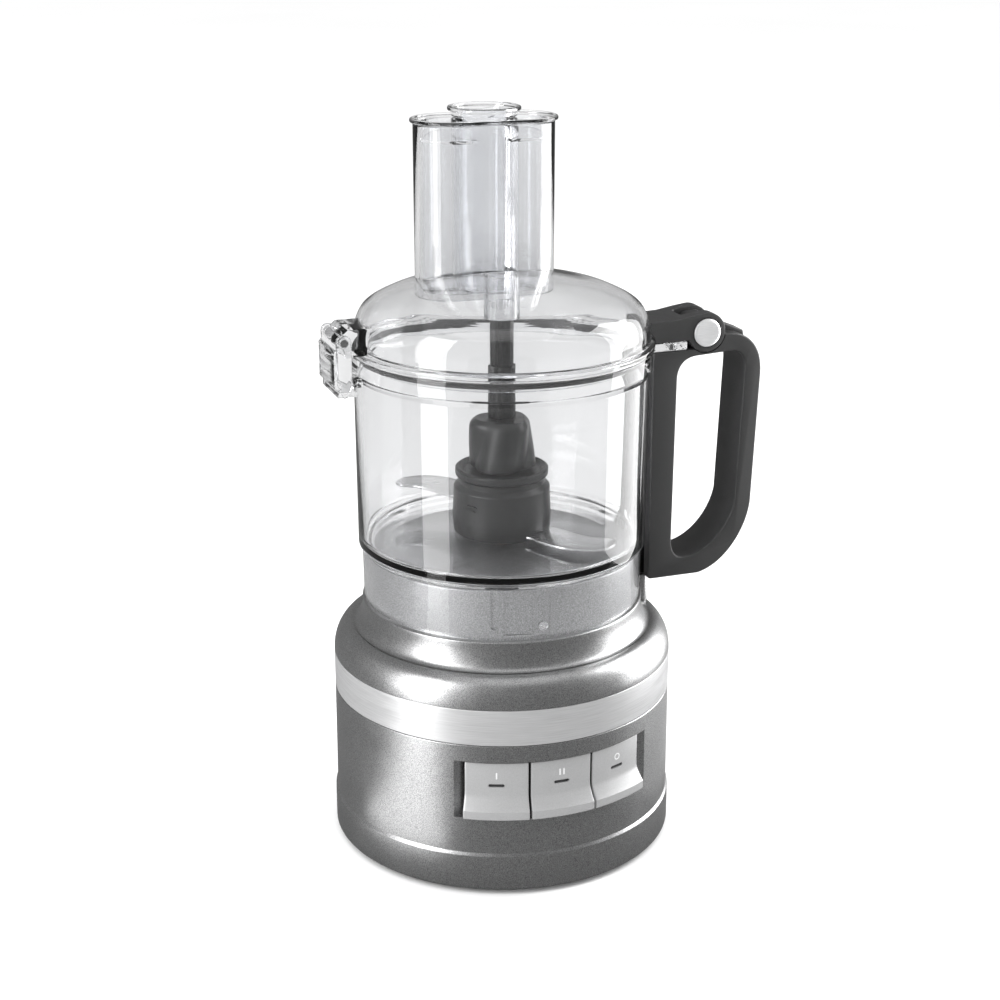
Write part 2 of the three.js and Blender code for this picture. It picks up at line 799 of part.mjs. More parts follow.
const tubeRoom = bowl.tubeRadius + 0.8;
const socketRadius = spindle.couplingRadius + 0.6;
const bladeAngles = { upper: 214, lower: 34 };

function bladeRoot(height, direction, clearance) {
  const half = blade.rootWidth / 2 + clearance;
  const low = height - clearance;
  const depth = blade.thickness + 2 * clearance;
  const [inner, outer] = [hub.radius - 5 - clearance, hub.radius + 2];
  const geometry = new THREE.BoxGeometry(2 * half, outer - inner, depth);
  const middle = (inner + outer) / 2;
  geometry.translate(0, -middle, low + depth / 2);
  return toSolid(geometry.rotateZ(THREE.MathUtils.degToRad(direction)));
}

function bladeHub() {
  const { radius, bottom, shoulder, top, flangeRadius } = hub;
  const ring = turned([
    [tubeRoom, bottom],
    [radius, bottom],
    [radius - 0.8, shoulder],
    [flangeRadius - 1.6, shoulder + 1],
    [flangeRadius - 1.6, top - 5],
    [flangeRadius, top - 4.5],
    [flangeRadius, top],
    [socketRadius, top],
    [socketRadius, top - 3],
    [tubeRoom, top - 3],
  ], 32);
  const upperSlot = bladeRoot(blade.upperHeight, bladeAngles.upper, gap);
  const lowerSlot = bladeRoot(blade.lowerHeight, bladeAngles.lower, gap);
  return ring.subtract(upperSlot).subtract(lowerSlot);
}

function steelBlade(height, direction) {
  const half = blade.rootWidth / 2;
  const shape = new THREE.Shape();
  shape.moveTo(-half, -hub.radius + 5);
  shape.lineTo(-half, -hub.radius - 3);
  shape.quadraticCurveTo(-half - 4, -blade.tip + 12, 2, -blade.tip);
  shape.quadraticCurveTo(12, -blade.tip - 1, 14, -blade.tip + 9);
  shape.quadraticCurveTo(6, -blade.tip + 14, half + 1, -hub.radius - 3);
  shape.lineTo(half, -hub.radius - 0.5);
  shape.lineTo(half, -hub.radius + 5);
  const settings = { depth: blade.thickness, bevelEnabled: false, curveSegments: 8 };
  const geometry = new THREE.ExtrudeGeometry(shape, settings).translate(0, 0, height);
  return toSolid(geometry.rotateZ(THREE.MathUtils.degToRad(direction)));
}

function bladeGrip() {
  const low = hub.top + gap;
  const height = 27;
  const shape = new THREE.Shape();
  const lobes = 3;
  for (let i = 0; i < 24; i++) {
    const angle = (i * Math.PI) / 12;
    const radius = 17.2 + 1.7 * Math.cos(lobes * angle);
    const point = [radius * Math.cos(angle), radius * Math.sin(angle)];
    if (i === 0) shape.moveTo(...point);
    else shape.lineTo(...point);
  }
  const geometry = new THREE.ExtrudeGeometry(shape, { depth: height, steps: 6, bevelEnabled: false });
  const position = geometry.attributes.position;
  for (let i = 0; i < position.count; i++) {
    const rise = position.getZ(i) / height;
    const turn = 0.7 * rise;
    const scale = 1 - 0.08 * rise;
    const [x, y] = [position.getX(i), position.getY(i)];
    position.setX(i, scale * (x * Math.cos(turn) - y * Math.sin(turn)));
    position.setY(i, scale * (x * Math.sin(turn) + y * Math.cos(turn)));
  }
  const lobed = toSolid(geometry.translate(0, 0, low));
  return lobed.subtract(post(socketRadius, [low - 1, spindle.top + 2]));
}

const gripTop = hub.top + gap + 27;

function bladeStem() {
  const step = gripTop + 26;
  const lower = plate(fluted(7.6, 6.6, 6), [gripTop + gap, step]);
  return lower.add(plate(fluted(6.5, 5.5, 6), [step - 1, lidBoss.bottom - 0.6]));
}

// Lid, hinge and latch ---------------------------------------------------------------

const flangeBottom = bowl.rim + 0.4;
const lidBoss = { radius: 9.5, bore: 7.4, bottom: bowl.rim + 15.4 };
const sealGroove = { bottom: flangeBottom - 4.2, inner: bowl.rimRadius - 6.1 };

function chuteShape(inset) {
  return stadium(chute.halfWidth - inset, chute.halfDepth - inset, 0, chute.y);
}

function clearLid() {
  const { flangeRadius, flangeThickness, crown, thickness } = lid;
  const flangeTop = flangeBottom + flangeThickness;
  const dome = turned([
    [0, sealGroove.bottom - 2.3],
    [sealGroove.inner, sealGroove.bottom - 2.3],
    [sealGroove.inner, flangeBottom],
    [flangeRadius, flangeBottom],
    [flangeRadius, flangeTop],
    [flangeRadius - 2.2, flangeTop + 1.2],
    [flangeRadius - 3, flangeTop + 7],
    [flangeRadius - 4.6, flangeTop + 13],
    [flangeRadius - 8, flangeTop + 19.5],
    [flangeRadius - 16, crown - 10.7],
    [flangeRadius - 29, crown - 5.5],
    [flangeRadius - 54, crown - 1.4],
    [0, crown],
  ]);
  const cavity = turned([
    [0, sealGroove.bottom - 4],
    [sealGroove.inner - 2.3, sealGroove.bottom - 4],
    [sealGroove.inner - 2.3, flangeTop - 1],
    [flangeRadius - 5.8, flangeTop + 1],
    [flangeRadius - 5.8, flangeTop + 7],
    [flangeRadius - 7.4, flangeTop + 12.4],
    [flangeRadius - 10.4, flangeTop + 17.6],
    [flangeRadius - 17.6, crown - 10.7 - thickness],
    [flangeRadius - 42, crown - 3.4 - thickness],
    [0, crown - thickness],
  ]);
  const lugHalf = latch.halfWidth - latch.cheek - gap - 0.2;
  const lugRoot = -(flangeRadius - 15.6);
  const lugBlock = block([latch.x, lugRoot], [-lugHalf, lugHalf], [flangeTop, latch.z + 6]);
  const lugNose = crossPin(3.6, [-lugHalf, lugHalf], latch.x, latch.z);
  const chuteBody = plate(chuteShape(0), [chute.skirt, chute.top]);
  const boss = post(lidBoss.radius, [lidBoss.bottom, crown - 1.5]);
  const chuteBore = plate(chuteShape(chute.wall), [chute.skirt - 9, chute.top + 1]);
  const bossBore = post(lidBoss.bore, [lidBoss.bottom - 1, crown - thickness]);
  const latchBore = crossPin(latch.pinRadius + gap, [-lugHalf - 1, lugHalf + 1], latch.x, latch.z);
  const shell = dome.add(lugBlock).add(lugNose).subtract(cavity);
  return shell.add(chuteBody).add(boss).subtract(chuteBore).subtract(bossBore).subtract(latchBore);
}

function lidSeal() {
  const inner = sealGroove.inner + gap;
  const outer = bowl.rimRadius - 2.7 - gap;
  const top = flangeBottom - gap;
  return turned([
    [inner, sealGroove.bottom],
    [outer, sealGroove.bottom],
    [outer, top],
    [inner, top],
  ]);
}

const armBottom = strap.top + 0.5;

function hingeArm() {
  const half = handle.width / 2;
  const lidRoom = post(lid.flangeRadius + gap, [0, pusher.top], 0, 0, roundSides);
  const bar = block([lid.flangeRadius - 6, hinge.x], [-half, half], [armBottom, hinge.z + 8.7]);
  const ears = crossPin(hinge.earRadius, [-half, half], hinge.x, hinge.z, 36);
  const slotHalf = hinge.knuckleWidth / 2 + gap;
  const slotHeight = [armBottom - 20, hinge.z + 20];
  const slot = block([hinge.x - 12.5, hinge.x + 20], [-slotHalf, slotHalf], slotHeight);
  const rodEnd = [armBottom - 1, armBottom + 3];
  const rodRoom = block([lid.flangeRadius - 8, rod.outer + 1.2], [-5, 5], rodEnd);
  const bore = crossPin(hinge.pinRadius + gap / 2, [-half - 1, half + 1], hinge.x, hinge.z);
  return bar.add(ears).subtract(lidRoom).subtract(slot).subtract(rodRoom).subtract(bore);
}

function hingePin() {
  const half = handle.width / 2 - 0.1;
  return crossPin(hinge.pinRadius, [-half, half], hinge.x, hinge.z);
}

function hingeCap(side) {
  const face = side * (handle.width / 2 + gap);
  const ends = [face, face + side * 1.1].sort((a, b) => a - b);
  return crossPin(hinge.capRadius, ends, hinge.x, hinge.z, 36);
}

function latchLever() {
  const { x, z, halfWidth, cheek, bottom } = latch;
  const side = new THREE.Shape();
  side.moveTo(x + 3.9, z);
  side.absarc(x, z, 3.9, 0, Math.PI);
  side.lineTo(x - 3.9, bottom + 9);
  side.lineTo(x - 1, bottom);
  side.lineTo(x + 1.2, bottom + 0.5);
  side.lineTo(x + 3.9, bottom + 6);
  const near = sideView(side, [-halfWidth, -halfWidth + cheek]);
  const far = sideView(side, [halfWidth - cheek, halfWidth]);
  const inside = halfWidth - 1;
  const front = block([x - 5.4, x - 2.9], [-inside, inside], [bottom + 5, z - 4.6]);
  const hookEnd = -catchLug.outer - 0.4;
  const hook = block([x - 3.5, hookEnd], [-inside, inside], [bottom + 0.4, bottom + 2.9]);
  const hookWeb = block([x - 3.5, x - 1.5], [-inside, inside], [bottom + 0.4, bottom + 8]);
  const bore = crossPin(latch.pinRadius + gap, [-halfWidth - 1, halfWidth + 1], x, z);
  return near.add(far).add(front).add(hook).add(hookWeb).subtract(bore);
}

function latchPin() {
  return crossPin(latch.pinRadius, [-latch.halfWidth, latch.halfWidth], latch.x, latch.z);
}

// Pushers ----------------------------------------------------------------------------

function largePusher() {
  const outerInset = chute.wall + 0.5;
  const low = chute.skirt + 3;
  const flangeLow = chute.top + gap;
  const flangeTop = flangeLow + 2.3;
  const flange = plate(chuteShape(-1.7), [flangeLow, flangeTop]);
  const shell = plate(chuteShape(outerInset), [low, flangeTop]);
  const hollow = plate(chuteShape(outerInset + pusher.wall), [low + pusher.wall, flangeTop + 1]);
  const sleeveRadius = pusher.smallRadius + 0.5;
  const sleeve = post(sleeveRadius + 1.6, [low, flangeTop], 0, chute.y, 36);
  const bore = post(sleeveRadius, [low - 1, flangeTop + 1], 0, chute.y, 36);
  return flange.add(shell).subtract(hollow).add(sleeve).subtract(bore);
}

function smallPusher() {
  const { smallRadius, lipRadius, wall, top } = pusher;
  const low = chute.skirt + 3;
  const seat = chute.top + 2.3 + 2 * gap;
  const cup = turned([
    [0, low],
    [smallRadius, low],
    [smallRadius, seat],
    [smallRadius + 2, seat],
    [smallRadius + 2, top - 2.4],
    [lipRadius, top - 2],
    [lipRadius, top],
    [smallRadius + 1.4, top],
    [smallRadius - wall, seat - 3],
    [smallRadius - wall, low + wall],
    [0, low + wall],
  ], 36);
  return cup.translate([0, chute.y, 0]);
}

// The assembly -----------------------------------------------------------------------

const baseBody = body();
addPart(baseBody, "base_housing", baseHousing(), silverPaint);
addPart(baseBody, "trim_band", trimBand(), brushedBand);
addPart(baseBody, "shoulder_cover", shoulderCover(), silverPaint);
addPart(baseBody, "bowl_seat", bowlSeat(), silverPaint);
addPart(baseBody, "bottom_cover", bottomCover(), satinGrey);
for (const turn of quarterTurns) {
  const number = quarterTurns.indexOf(turn) + 1;
  addPart(baseBody, `foot_${number}`, rubberFoot(turn + 45), rubber);
  addPart(baseBody, `cover_screw_${number}`, bottomScrew(turn), steel);
}
addPart(baseBody, "cord_bush", cordInletBush(), rubber);
addPart(baseBody, "button_bezel", buttonBezel(), satinGrey);
addPart(baseBody, "switch_board", switchBoard(), boardGreen);
addPart(baseBody, "control_board", controlBoard(), boardGreen);
addPart(baseBody, "chassis_plate", chassisPlate(), nylon);
addPart(baseBody, "motor_can", motorCan(), steel);
const lowerBearing = bearing([chassis.bottom - 5, chassis.bottom + 4]);
addPart(baseBody, "spindle_bearing_lower", lowerBearing, copper);
addPart(baseBody, "spindle_bearing_upper", bearing([drum.top - 8, drum.top - 0.5]), copper);
addPart(baseBody, "interlock_post", interlockPost(), silverPaint);
addPart(baseBody, "interlock_switch", interlockSwitch(), blackPlastic);
addPart(baseBody, "interlock_spring", interlockSpring(), steel);

const plungerBody = body();
addPart(plungerBody, "interlock_plunger", interlockPlunger(), nylon);

const buttonNames = ["button_low", "button_high", "button_pulse"];
for (const [index, name] of buttonNames.entries()) {
  addPart(body(), name, paddleButton(index), satinGrey);
}

const rotorBody = body();
addPart(rotorBody, "motor_rotor", motorRotor(), copper);
addPart(rotorBody, "motor_fan", motorFan(), nylon);
addPart(rotorBody, "motor_pinion", motorPinion(), steel);

const spindleBody = body();
addPart(spindleBody, "drive_spindle", driveSpindle(), steel);
addPart(spindleBody, "drive_coupling", driveCoupling(), blackPlastic);
addPart(spindleBody, "driven_gear", drivenGear(), nylon);

const bowlBody = body();
addPart(bowlBody, "bowl", clearBowl(), clearPlastic);
addPart(bowlBody, "handle_grip", handleGrip(), softGrey);
addPart(bowlBody, "strap_screw", strapScrewPiece(), steel);

const rodBody = body();
addPart(rodBody, "interlock_rod", interlockRod(), blackPlastic);

const bladeBody = body();
addPart(bladeBody, "blade_hub", bladeHub(), blackPlastic);
addPart(bladeBody, "blade_grip", bladeGrip(), blackPlastic);
addPart(bladeBody, "blade_stem", bladeStem(), blackPlastic);
addPart(bladeBody, "upper_blade", steelBlade(blade.upperHeight, bladeAngles.upper), steel);
addPart(bladeBody, "lower_blade", steelBlade(blade.lowerHeight, bladeAngles.lower), steel);

const lidBody = body();
addPart(lidBody, "lid", clearLid(), clearPlastic);
addPart(lidBody, "lid_seal", lidSeal(), rubber);
addPart(lidBody, "hinge_arm", hingeArm(), softGrey);
addPart(lidBody, "hinge_pin", hingePin(), steel);
addPart(lidBody, "hinge_cap_front", hingeCap(-1), brushedBand);
addPart(lidBody, "hinge_cap_rear", hingeCap(1), brushedBand);
addPart(lidBody, "latch_pin", latchPin(), steel);

addPart(body(), "latch", latchLever(), clearPlastic);
addPart(body(), "pusher_large", largePusher(), clearPlastic);
addPart(body(), "pusher_small", smallPusher(), clearPlastic);

// Centred on the origin in plan: the handle reaches further out than the latch does.
const latchReach = latch.x - 5.4;
foodProcessor.position.x = -(handle.reach + latchReach) / 2;

export default foodProcessor;
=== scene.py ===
"""Food processor: smooth pieces, finishes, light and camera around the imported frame.

Shapes are drawn in millimetres about the spindle axis, then put in the frame in metres.
Directions in plan are in degrees from the front (-Y), turning towards +X.
"""
import math

import bmesh
import bpy
from mathutils import Matrix, Vector


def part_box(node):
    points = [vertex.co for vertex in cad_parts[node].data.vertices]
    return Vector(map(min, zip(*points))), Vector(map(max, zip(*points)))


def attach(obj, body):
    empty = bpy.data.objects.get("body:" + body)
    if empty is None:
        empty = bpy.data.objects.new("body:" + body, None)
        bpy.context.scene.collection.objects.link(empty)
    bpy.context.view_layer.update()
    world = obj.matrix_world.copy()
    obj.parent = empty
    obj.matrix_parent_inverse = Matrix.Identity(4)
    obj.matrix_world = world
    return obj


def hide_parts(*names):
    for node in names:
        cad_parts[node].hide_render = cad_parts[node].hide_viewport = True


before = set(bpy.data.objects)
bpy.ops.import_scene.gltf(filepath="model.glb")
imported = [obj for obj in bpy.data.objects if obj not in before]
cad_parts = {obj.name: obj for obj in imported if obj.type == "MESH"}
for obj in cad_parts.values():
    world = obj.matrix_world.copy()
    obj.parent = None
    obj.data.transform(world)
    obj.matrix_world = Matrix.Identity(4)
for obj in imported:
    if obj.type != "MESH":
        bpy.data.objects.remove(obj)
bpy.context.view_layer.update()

MM = 0.001
GAP = 0.3  # clearance between neighbouring pieces
RING = 144  # facets of a full-size ring
SMALL_RING = 48  # facets of a pin or a screw
TURN = 2 * math.pi

# Places and sizes measured on the frame ------------------------------------------------

spindle_low, spindle_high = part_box("drive_spindle")
AXIS = Vector(((spindle_low.x + spindle_high.x) / 2, 0, 0))


def extent(node):
    """A CAD node's lowest and highest corner, in millimetres from the spindle axis."""
    low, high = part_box(node)
    return (low - AXIS) / MM, (high - AXIS) / MM


def middle(node):
    low, high = extent(node)
    return (low + high) / 2


housing_low, housing_high = extent("base_housing")
band_low, band_high = extent("trim_band")
seat_low, seat_high = extent("bowl_seat")
bowl_low, bowl_high = extent("bowl")
lid_low, lid_high = extent("lid")
seal_low, seal_high = extent("lid_seal")
grip_low, grip_high = extent("handle_grip")
arm_high = extent("hinge_arm")[1]
latch_low, latch_high = extent("latch")
large_low, large_high = extent("pusher_large")
small_low, small_high = extent("pusher_small")
hub_low, hub_high = extent("blade_hub")
knob_low, knob_high = extent("blade_grip")
stem_low, stem_high = extent("blade_stem")
button_low, button_high = extent("button_high")

BASE_RADIUS = band_high.y
SKIRT_RADIUS = housing_high.y
SKIRT_TOP = 23.5
BASE_WALL = 2.6
COLLAR_RADIUS = seat_high.y
COLLAR_BOTTOM = seat_low.z
DRUM_TOP = seat_high.z
DRUM_RADIUS = 72.9
NECK_RADIUS = 77
COVE_HEIGHT = 12
SKIRT_BOTTOM = bowl_low.z
DECK = SKIRT_BOTTOM - 0.7
BOWL_RIM_RADIUS = bowl_high.y
BOWL_RADIUS = BOWL_RIM_RADIUS - 2.2
BOWL_WALL = 2.9
BOWL_FLOOR = DRUM_TOP + 3.7
BOWL_INSIDE = BOWL_FLOOR + 3
BOWL_RIM = bowl_high.z
BOWL_NECK = BOWL_RIM - 13
TUBE_RADIUS = 15.5
TUBE_TOP = 204
HINGE = middle("hinge_pin")
HALF_GRIP = grip_high.y
EAR_RADIUS = arm_high.x - HINGE.x
KNUCKLE_HALF = 6
LATCH_PIN = middle("latch_pin")
LATCH_HALF = latch_high.y
CHUTE_Y = middle("pusher_small").y
FLANGE_RADIUS = lid_high.y
CHUTE_TOP = lid_high.z
CHUTE_DEPTH = 21
CHUTE_STRAIGHT = 17.5
CHUTE_WALL = 2.6
CHUTE_SKIRT = 299
LID_CROWN = 315
BUTTON_PITCH = 21.7
BUTTON_SPAN = 20.9
PADDLE_FACE = BASE_RADIUS - 1.1
LAMP_HEIGHT = 63.2
SYMBOL_HEIGHT = 68.8
BUTTON_TOP = button_high.z
BUTTON_BOTTOM = button_low.z
WINDOW_HALF = 1.5 * BUTTON_PITCH + 0.9
COLUMN_OUTER = 86
COLUMN_HALF = 8

# Shapes ------------------------------------------------------------------------------


def fillet(corners, segments=6):
    """A closed outline whose (x, y, radius) corners are rounded off."""
    points = []
    for i, (x, y, radius) in enumerate(corners):
        here = Vector((x, y))
        back = Vector(corners[i - 1][:2]) - here
        ahead = Vector(corners[(i + 1) % len(corners)][:2]) - here
        half = back.angle(ahead) / 2 if back.length and ahead.length else 0
        if radius <= 0 or not 0.05 < half < math.pi / 2 - 0.02:
            points.append((x, y))
            continue
        setback = min(radius / math.tan(half), 0.49 * back.length, 0.49 * ahead.length)
        real = setback * math.tan(half)
        inward = (back.normalized() + ahead.normalized()).normalized()
        centre = here + inward * real / math.sin(half)
        start = here + back.normalized() * setback - centre
        end = here + ahead.normalized() * setback - centre
        first = math.atan2(start.y, start.x)
        sweep = (math.atan2(end.y, end.x) - first + math.pi) % TURN - math.pi
        for k in range(segments + 1):
            angle = first + sweep * k / segments
            points.append((centre.x + real * math.cos(angle), centre.y + real * math.sin(angle)))
    return points


def smooth(points, steps=5):
    """An open curve through all the points."""
    ends = [points[0], *points, points[-1]]
    curve = []
    for a, b, c, d in zip(ends, ends[1:], ends[2:], ends[3:]):
        for k in range(steps):
            t = k / steps
            curve.append(tuple(
                0.5 * (2 * q + (r - p) * t + (2 * p - 5 * q + 4 * r - s) * t * t
                       + (3 * q - p - 3 * r + s) * t ** 3)
                for p, q, r, s in zip(a, b, c, d)
            ))
    return [*curve, points[-1]]


def bezier(*corners, steps=12):
    """An open curve that starts at the first corner, ends at the last, and leans to the rest."""
    curve = []
    for k in range(steps + 1):
        level = [Vector(corner) for corner in corners]
        while len(level) > 1:
            level = [a.lerp(b, k / steps) for a, b in zip(level, level[1:])]
        curve.append(tuple(level[0]))
    return curve


def arc(centre, radius, first, last, steps=8):
    """Points on an arc, from one angle to the other in degrees."""
    angles = [math.radians(first + (last - first) * k / steps) for k in range(steps + 1)]
    return [(centre[0] + radius * math.cos(a), centre[1] + radius * math.sin(a)) for a in angles]


def as_object(bm):
    bmesh.ops.remove_doubles(bm, verts=bm.verts, dist=1e-4)
    bmesh.ops.recalc_face_normals(bm, faces=bm.faces)
    mesh = bpy.data.meshes.new("shape")
    bm.to_mesh(mesh)
    bm.free()
    shape = bpy.data.objects.new("shape", mesh)
    bpy.context.scene.collection.objects.link(shape)
    return shape


def turned(profile, sides=RING, centre=(0, 0), straight=0):
    """A closed (radius, height) outline turned about Z. A straight half-length draws the
    circle out into a shape with two round ends, long along X."""
    bm = bmesh.new()
    rings = []
    for radius, height in profile:
        if radius < 1e-3:
            rings.append([bm.verts.new((*centre, height))])
            continue
        ring = []
        for i in range(sides):
            angle = TURN * (i + 0.5) / sides
            along = radius * math.cos(angle) + math.copysign(straight, math.cos(angle))
            across = radius * math.sin(angle)
            ring.append(bm.verts.new((centre[0] + along, centre[1] + across, height)))
        rings.append(ring)
    for ring, following in zip(rings, rings[1:] + rings[:1]):
        for i in range(sides):
            j = (i + 1) % sides
            if len(ring) == len(following) == 1:
                break
            if len(ring) == 1:
                bm.faces.new((ring[0], following[i], following[j]))
            elif len(following) == 1:
                bm.faces.new((ring[i], ring[j], following[0]))
            else:
                bm.faces.new((ring[i], ring[j], following[j], following[i]))
    return as_object(bm)


def swept(profile, first, last, steps=24):
    """The same outline, swept only from one direction to another, with flat ends."""
    bm = bmesh.new()
    rings = []
    for k in range(steps + 1):
        angle = math.radians(first + (last - first) * k / steps)
        rings.append([
            bm.verts.new((r * math.sin(angle), -r * math.cos(angle), z)) for r, z in profile
        ])
    for ring, following in zip(rings, rings[1:]):
        for i in range(len(profile)):
            j = (i + 1) % len(profile)
            bm.faces.new((ring[i], ring[j], following[j], following[i]))
    bm.faces.new(rings[0])
    bm.faces.new(rings[-1])
    return as_object(bm)


def prism(outline, low, high, place):
    """An outline given a thickness. place turns (across, up, depth) into a corner."""
    bm = bmesh.new()
    near = [bm.verts.new(place(a, b, low)) for a, b in outline]
    far = [bm.verts.new(place(a, b, high)) for a, b in outline]
    bm.faces.new(near)
    bm.faces.new(far)
    for i in range(len(outline)):
        j = (i + 1) % len(outline)
        bm.faces.new((near[i], near[j], far[j], far[i]))
    return as_object(bm)


def upright(outline, low, high):
    """A plan outline made into a prism between two heights."""
    return prism(outline, low, high, lambda a, b, depth: (a, b, depth))


def side_on(outline, low, high):
    """An outline in X and Z made into a prism between two values of Y."""
    return prism(outline, low, high, lambda a, b, depth: (a, depth, b))


def wrapped(outline, radius, depth, direction):
    """An outline of (arc length, height) laid on a cylinder and made depth thick."""
    def place(a, b, r):
        angle = math.radians(direction) + a / radius
        return (r * math.sin(angle), -r * math.cos(angle), b)

    return prism(outline, radius, radius + depth, place)


def rectangle(x0, x1, y0, y1, radius=0):
    return fillet([(x0, y0, radius), (x1, y0, radius), (x1, y1, radius), (x0, y1, radius)])


def stadium(half_length, half_height, centre=(0, 0), steps=16):
    x, y = centre
    straight = half_length - half_height
    return [
        *arc((x + straight, y), half_height, -90, 90, steps),
        *arc((x - straight, y), half_height, 90, 270, steps),
    ]


def circle(radius, centre=(0, 0), sides=SMALL_RING):
    return arc(centre, radius, 0, 360 - 360 / sides, sides - 1)


def applied(shape):
    graph = bpy.context.evaluated_depsgraph_get()
    mesh = bpy.data.meshes.new_from_object(shape.evaluated_get(graph))
    shape.modifiers.clear()
    shape.data = mesh
    return shape


def combined(shape, operation, tools):
    for tool in tools:
        step = shape.modifiers.new("step", "BOOLEAN")
        step.operation = operation
        step.solver = "MANIFOLD"
        step.object = tool
        applied(shape)
        bpy.data.objects.remove(tool)
    return shape


def joined(shape, *tools):
    return combined(shape, "UNION", tools)


def cut(shape, *tools):
    return combined(shape, "DIFFERENCE", tools)


def rounded(shape, width, segments=3, sharper_than=40):
    """Every edge sharper than an angle is rounded off."""
    step = shape.modifiers.new("step", "BEVEL")
    step.width = width
    step.segments = segments
    step.limit_method = "ANGLE"
    step.angle_limit = math.radians(sharper_than)
    step.use_clamp_overlap = True
    return applied(shape)


def piece(name, shape, body, finish, stands_for=(), sharp=32):
    """Puts a shape in the frame as a named piece that rides on a body."""
    shape.name = name
    shape.data.name = name
    shape.data.transform(Matrix.Translation(AXIS) @ Matrix.Scale(MM, 4))
    shape.data.shade_smooth()
    shape.data.set_sharp_from_angle(angle=math.radians(sharp))
    shape.data.materials.clear()
    shape.data.materials.append(finish)
    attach(shape, body)
    if stands_for:
        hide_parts(*stands_for)
    return shape


# Finishes ----------------------------------------------------------------------------


class Finish:
    """A material with one Principled shader, and the nodes that give it its detail."""

    def __init__(self, name, color, roughness, metallic=0.0):
        self.material = bpy.data.materials.new(name)
        self.material.use_nodes = True
        self.nodes = self.material.node_tree.nodes
        self.links = self.material.node_tree.links
        self.shader = self.nodes["Principled BSDF"]
        self.color = color
        self.shader.inputs["Roughness"].default_value = roughness
        self.shader.inputs["Metallic"].default_value = metallic
        self.normal = None

    def set(self, **sockets):
        for name, value in sockets.items():
            self.shader.inputs[name.replace("_", " ")].default_value = value
        return self

    def noise(self, size, detail=2.0, stretch=(1, 1, 1)):
        """Noise whose grains are about size millimetres across."""
        place = self.nodes.new("ShaderNodeTexCoord")
        scaled = self.nodes.new("ShaderNodeMapping")
        scaled.inputs["Scale"].default_value = [1 / (MM * size * s) for s in stretch]
        grains = self.nodes.new("ShaderNodeTexNoise")
        grains.inputs["Scale"].default_value = 1
        grains.inputs["Detail"].default_value = detail
        self.links.new(place.outputs["Object"], scaled.inputs["Vector"])
        self.links.new(scaled.outputs["Vector"], grains.inputs["Vector"])
        return grains.outputs["Fac"]

    def ramp(self, factor, low, high, start=0.3, end=0.7):
        """A value or colour that goes from low to high with the noise."""
        ramp = self.nodes.new("ShaderNodeValToRGB")
        ramp.color_ramp.elements[0].position = start
        ramp.color_ramp.elements[1].position = end
        ramp.color_ramp.elements[0].color = (*low, 1)
        ramp.color_ramp.elements[1].color = (*high, 1)
        self.links.new(factor, ramp.inputs["Fac"])
        return ramp.outputs["Color"]

    def speckle(self, size, spread, start=0.3, end=0.7, detail=2.0, stretch=(1, 1, 1)):
        """Base colour that varies by spread, up and down."""
        low = [c * (1 - spread) for c in self.color]
        high = [min(1, c * (1 + spread)) for c in self.color]
        factor = self.noise(size, detail, stretch)
        color = self.ramp(factor, low, high, start, end)
        self.links.new(color, self.shader.inputs["Base Color"])
        return self

    def worn(self, size, low, high, stretch=(1, 1, 1)):
        """Roughness that varies between two values."""
        factor = self.noise(size, 3.0, stretch)
        self.links.new(
            self.ramp(factor, [low] * 3, [high] * 3), self.shader.inputs["Roughness"]
        )
        return self

    def grain(self, size, height, stretch=(1, 1, 1), detail=2.0):
        """Bumps about size across and height deep, in millimetres."""
        bump = self.nodes.new("ShaderNodeBump")
        bump.inputs["Distance"].default_value = height * MM
        self.links.new(self.noise(size, detail, stretch), bump.inputs["Height"])
        if self.normal:
            self.links.new(self.normal, bump.inputs["Normal"])
        self.normal = bump.outputs["Normal"]
        self.links.new(self.normal, self.shader.inputs["Normal"])
        return self


def grey(level):
    return (level, level * 1.003, level * 1.01)


def by_ray(tree, ray, usual, instead):
    """One shader, and another in its place for one kind of ray."""
    path = tree.nodes.new("ShaderNodeLightPath")
    choice = tree.nodes.new("ShaderNodeMixShader")
    tree.links.new(path.outputs[ray], choice.inputs["Fac"])
    tree.links.new(usual, choice.inputs[1])
    tree.links.new(instead, choice.inputs[2])
    return choice.outputs["Shader"]


def silver_paint():
    paint = Finish("silver_paint", grey(0.35), 0.34, 0.92)
    paint.speckle(0.45, 0.34, 0.36, 0.66, 1.5).grain(0.5, 0.012).set(Coat_Weight=0.25)
    return paint.set(Coat_Roughness=0.18).worn(14, 0.32, 0.38).material


def brushed_band():
    metal = Finish("brushed_band", grey(0.55), 0.36, 0.55)
    metal.speckle(0.3, 0.1, stretch=(60, 60, 1)).grain(0.25, 0.01, (60, 60, 1))
    return metal.worn(5, 0.32, 0.42, (8, 8, 1)).material


def satin_grey():
    plastic = Finish("satin_grey", grey(0.38), 0.4, 0.3)
    return plastic.speckle(0.6, 0.06).grain(0.4, 0.004).worn(9, 0.38, 0.46).material


def soft_grey():
    plastic = Finish("soft_grey", grey(0.025), 0.46)
    return plastic.speckle(0.7, 0.1).grain(0.35, 0.012).worn(18, 0.46, 0.55).material


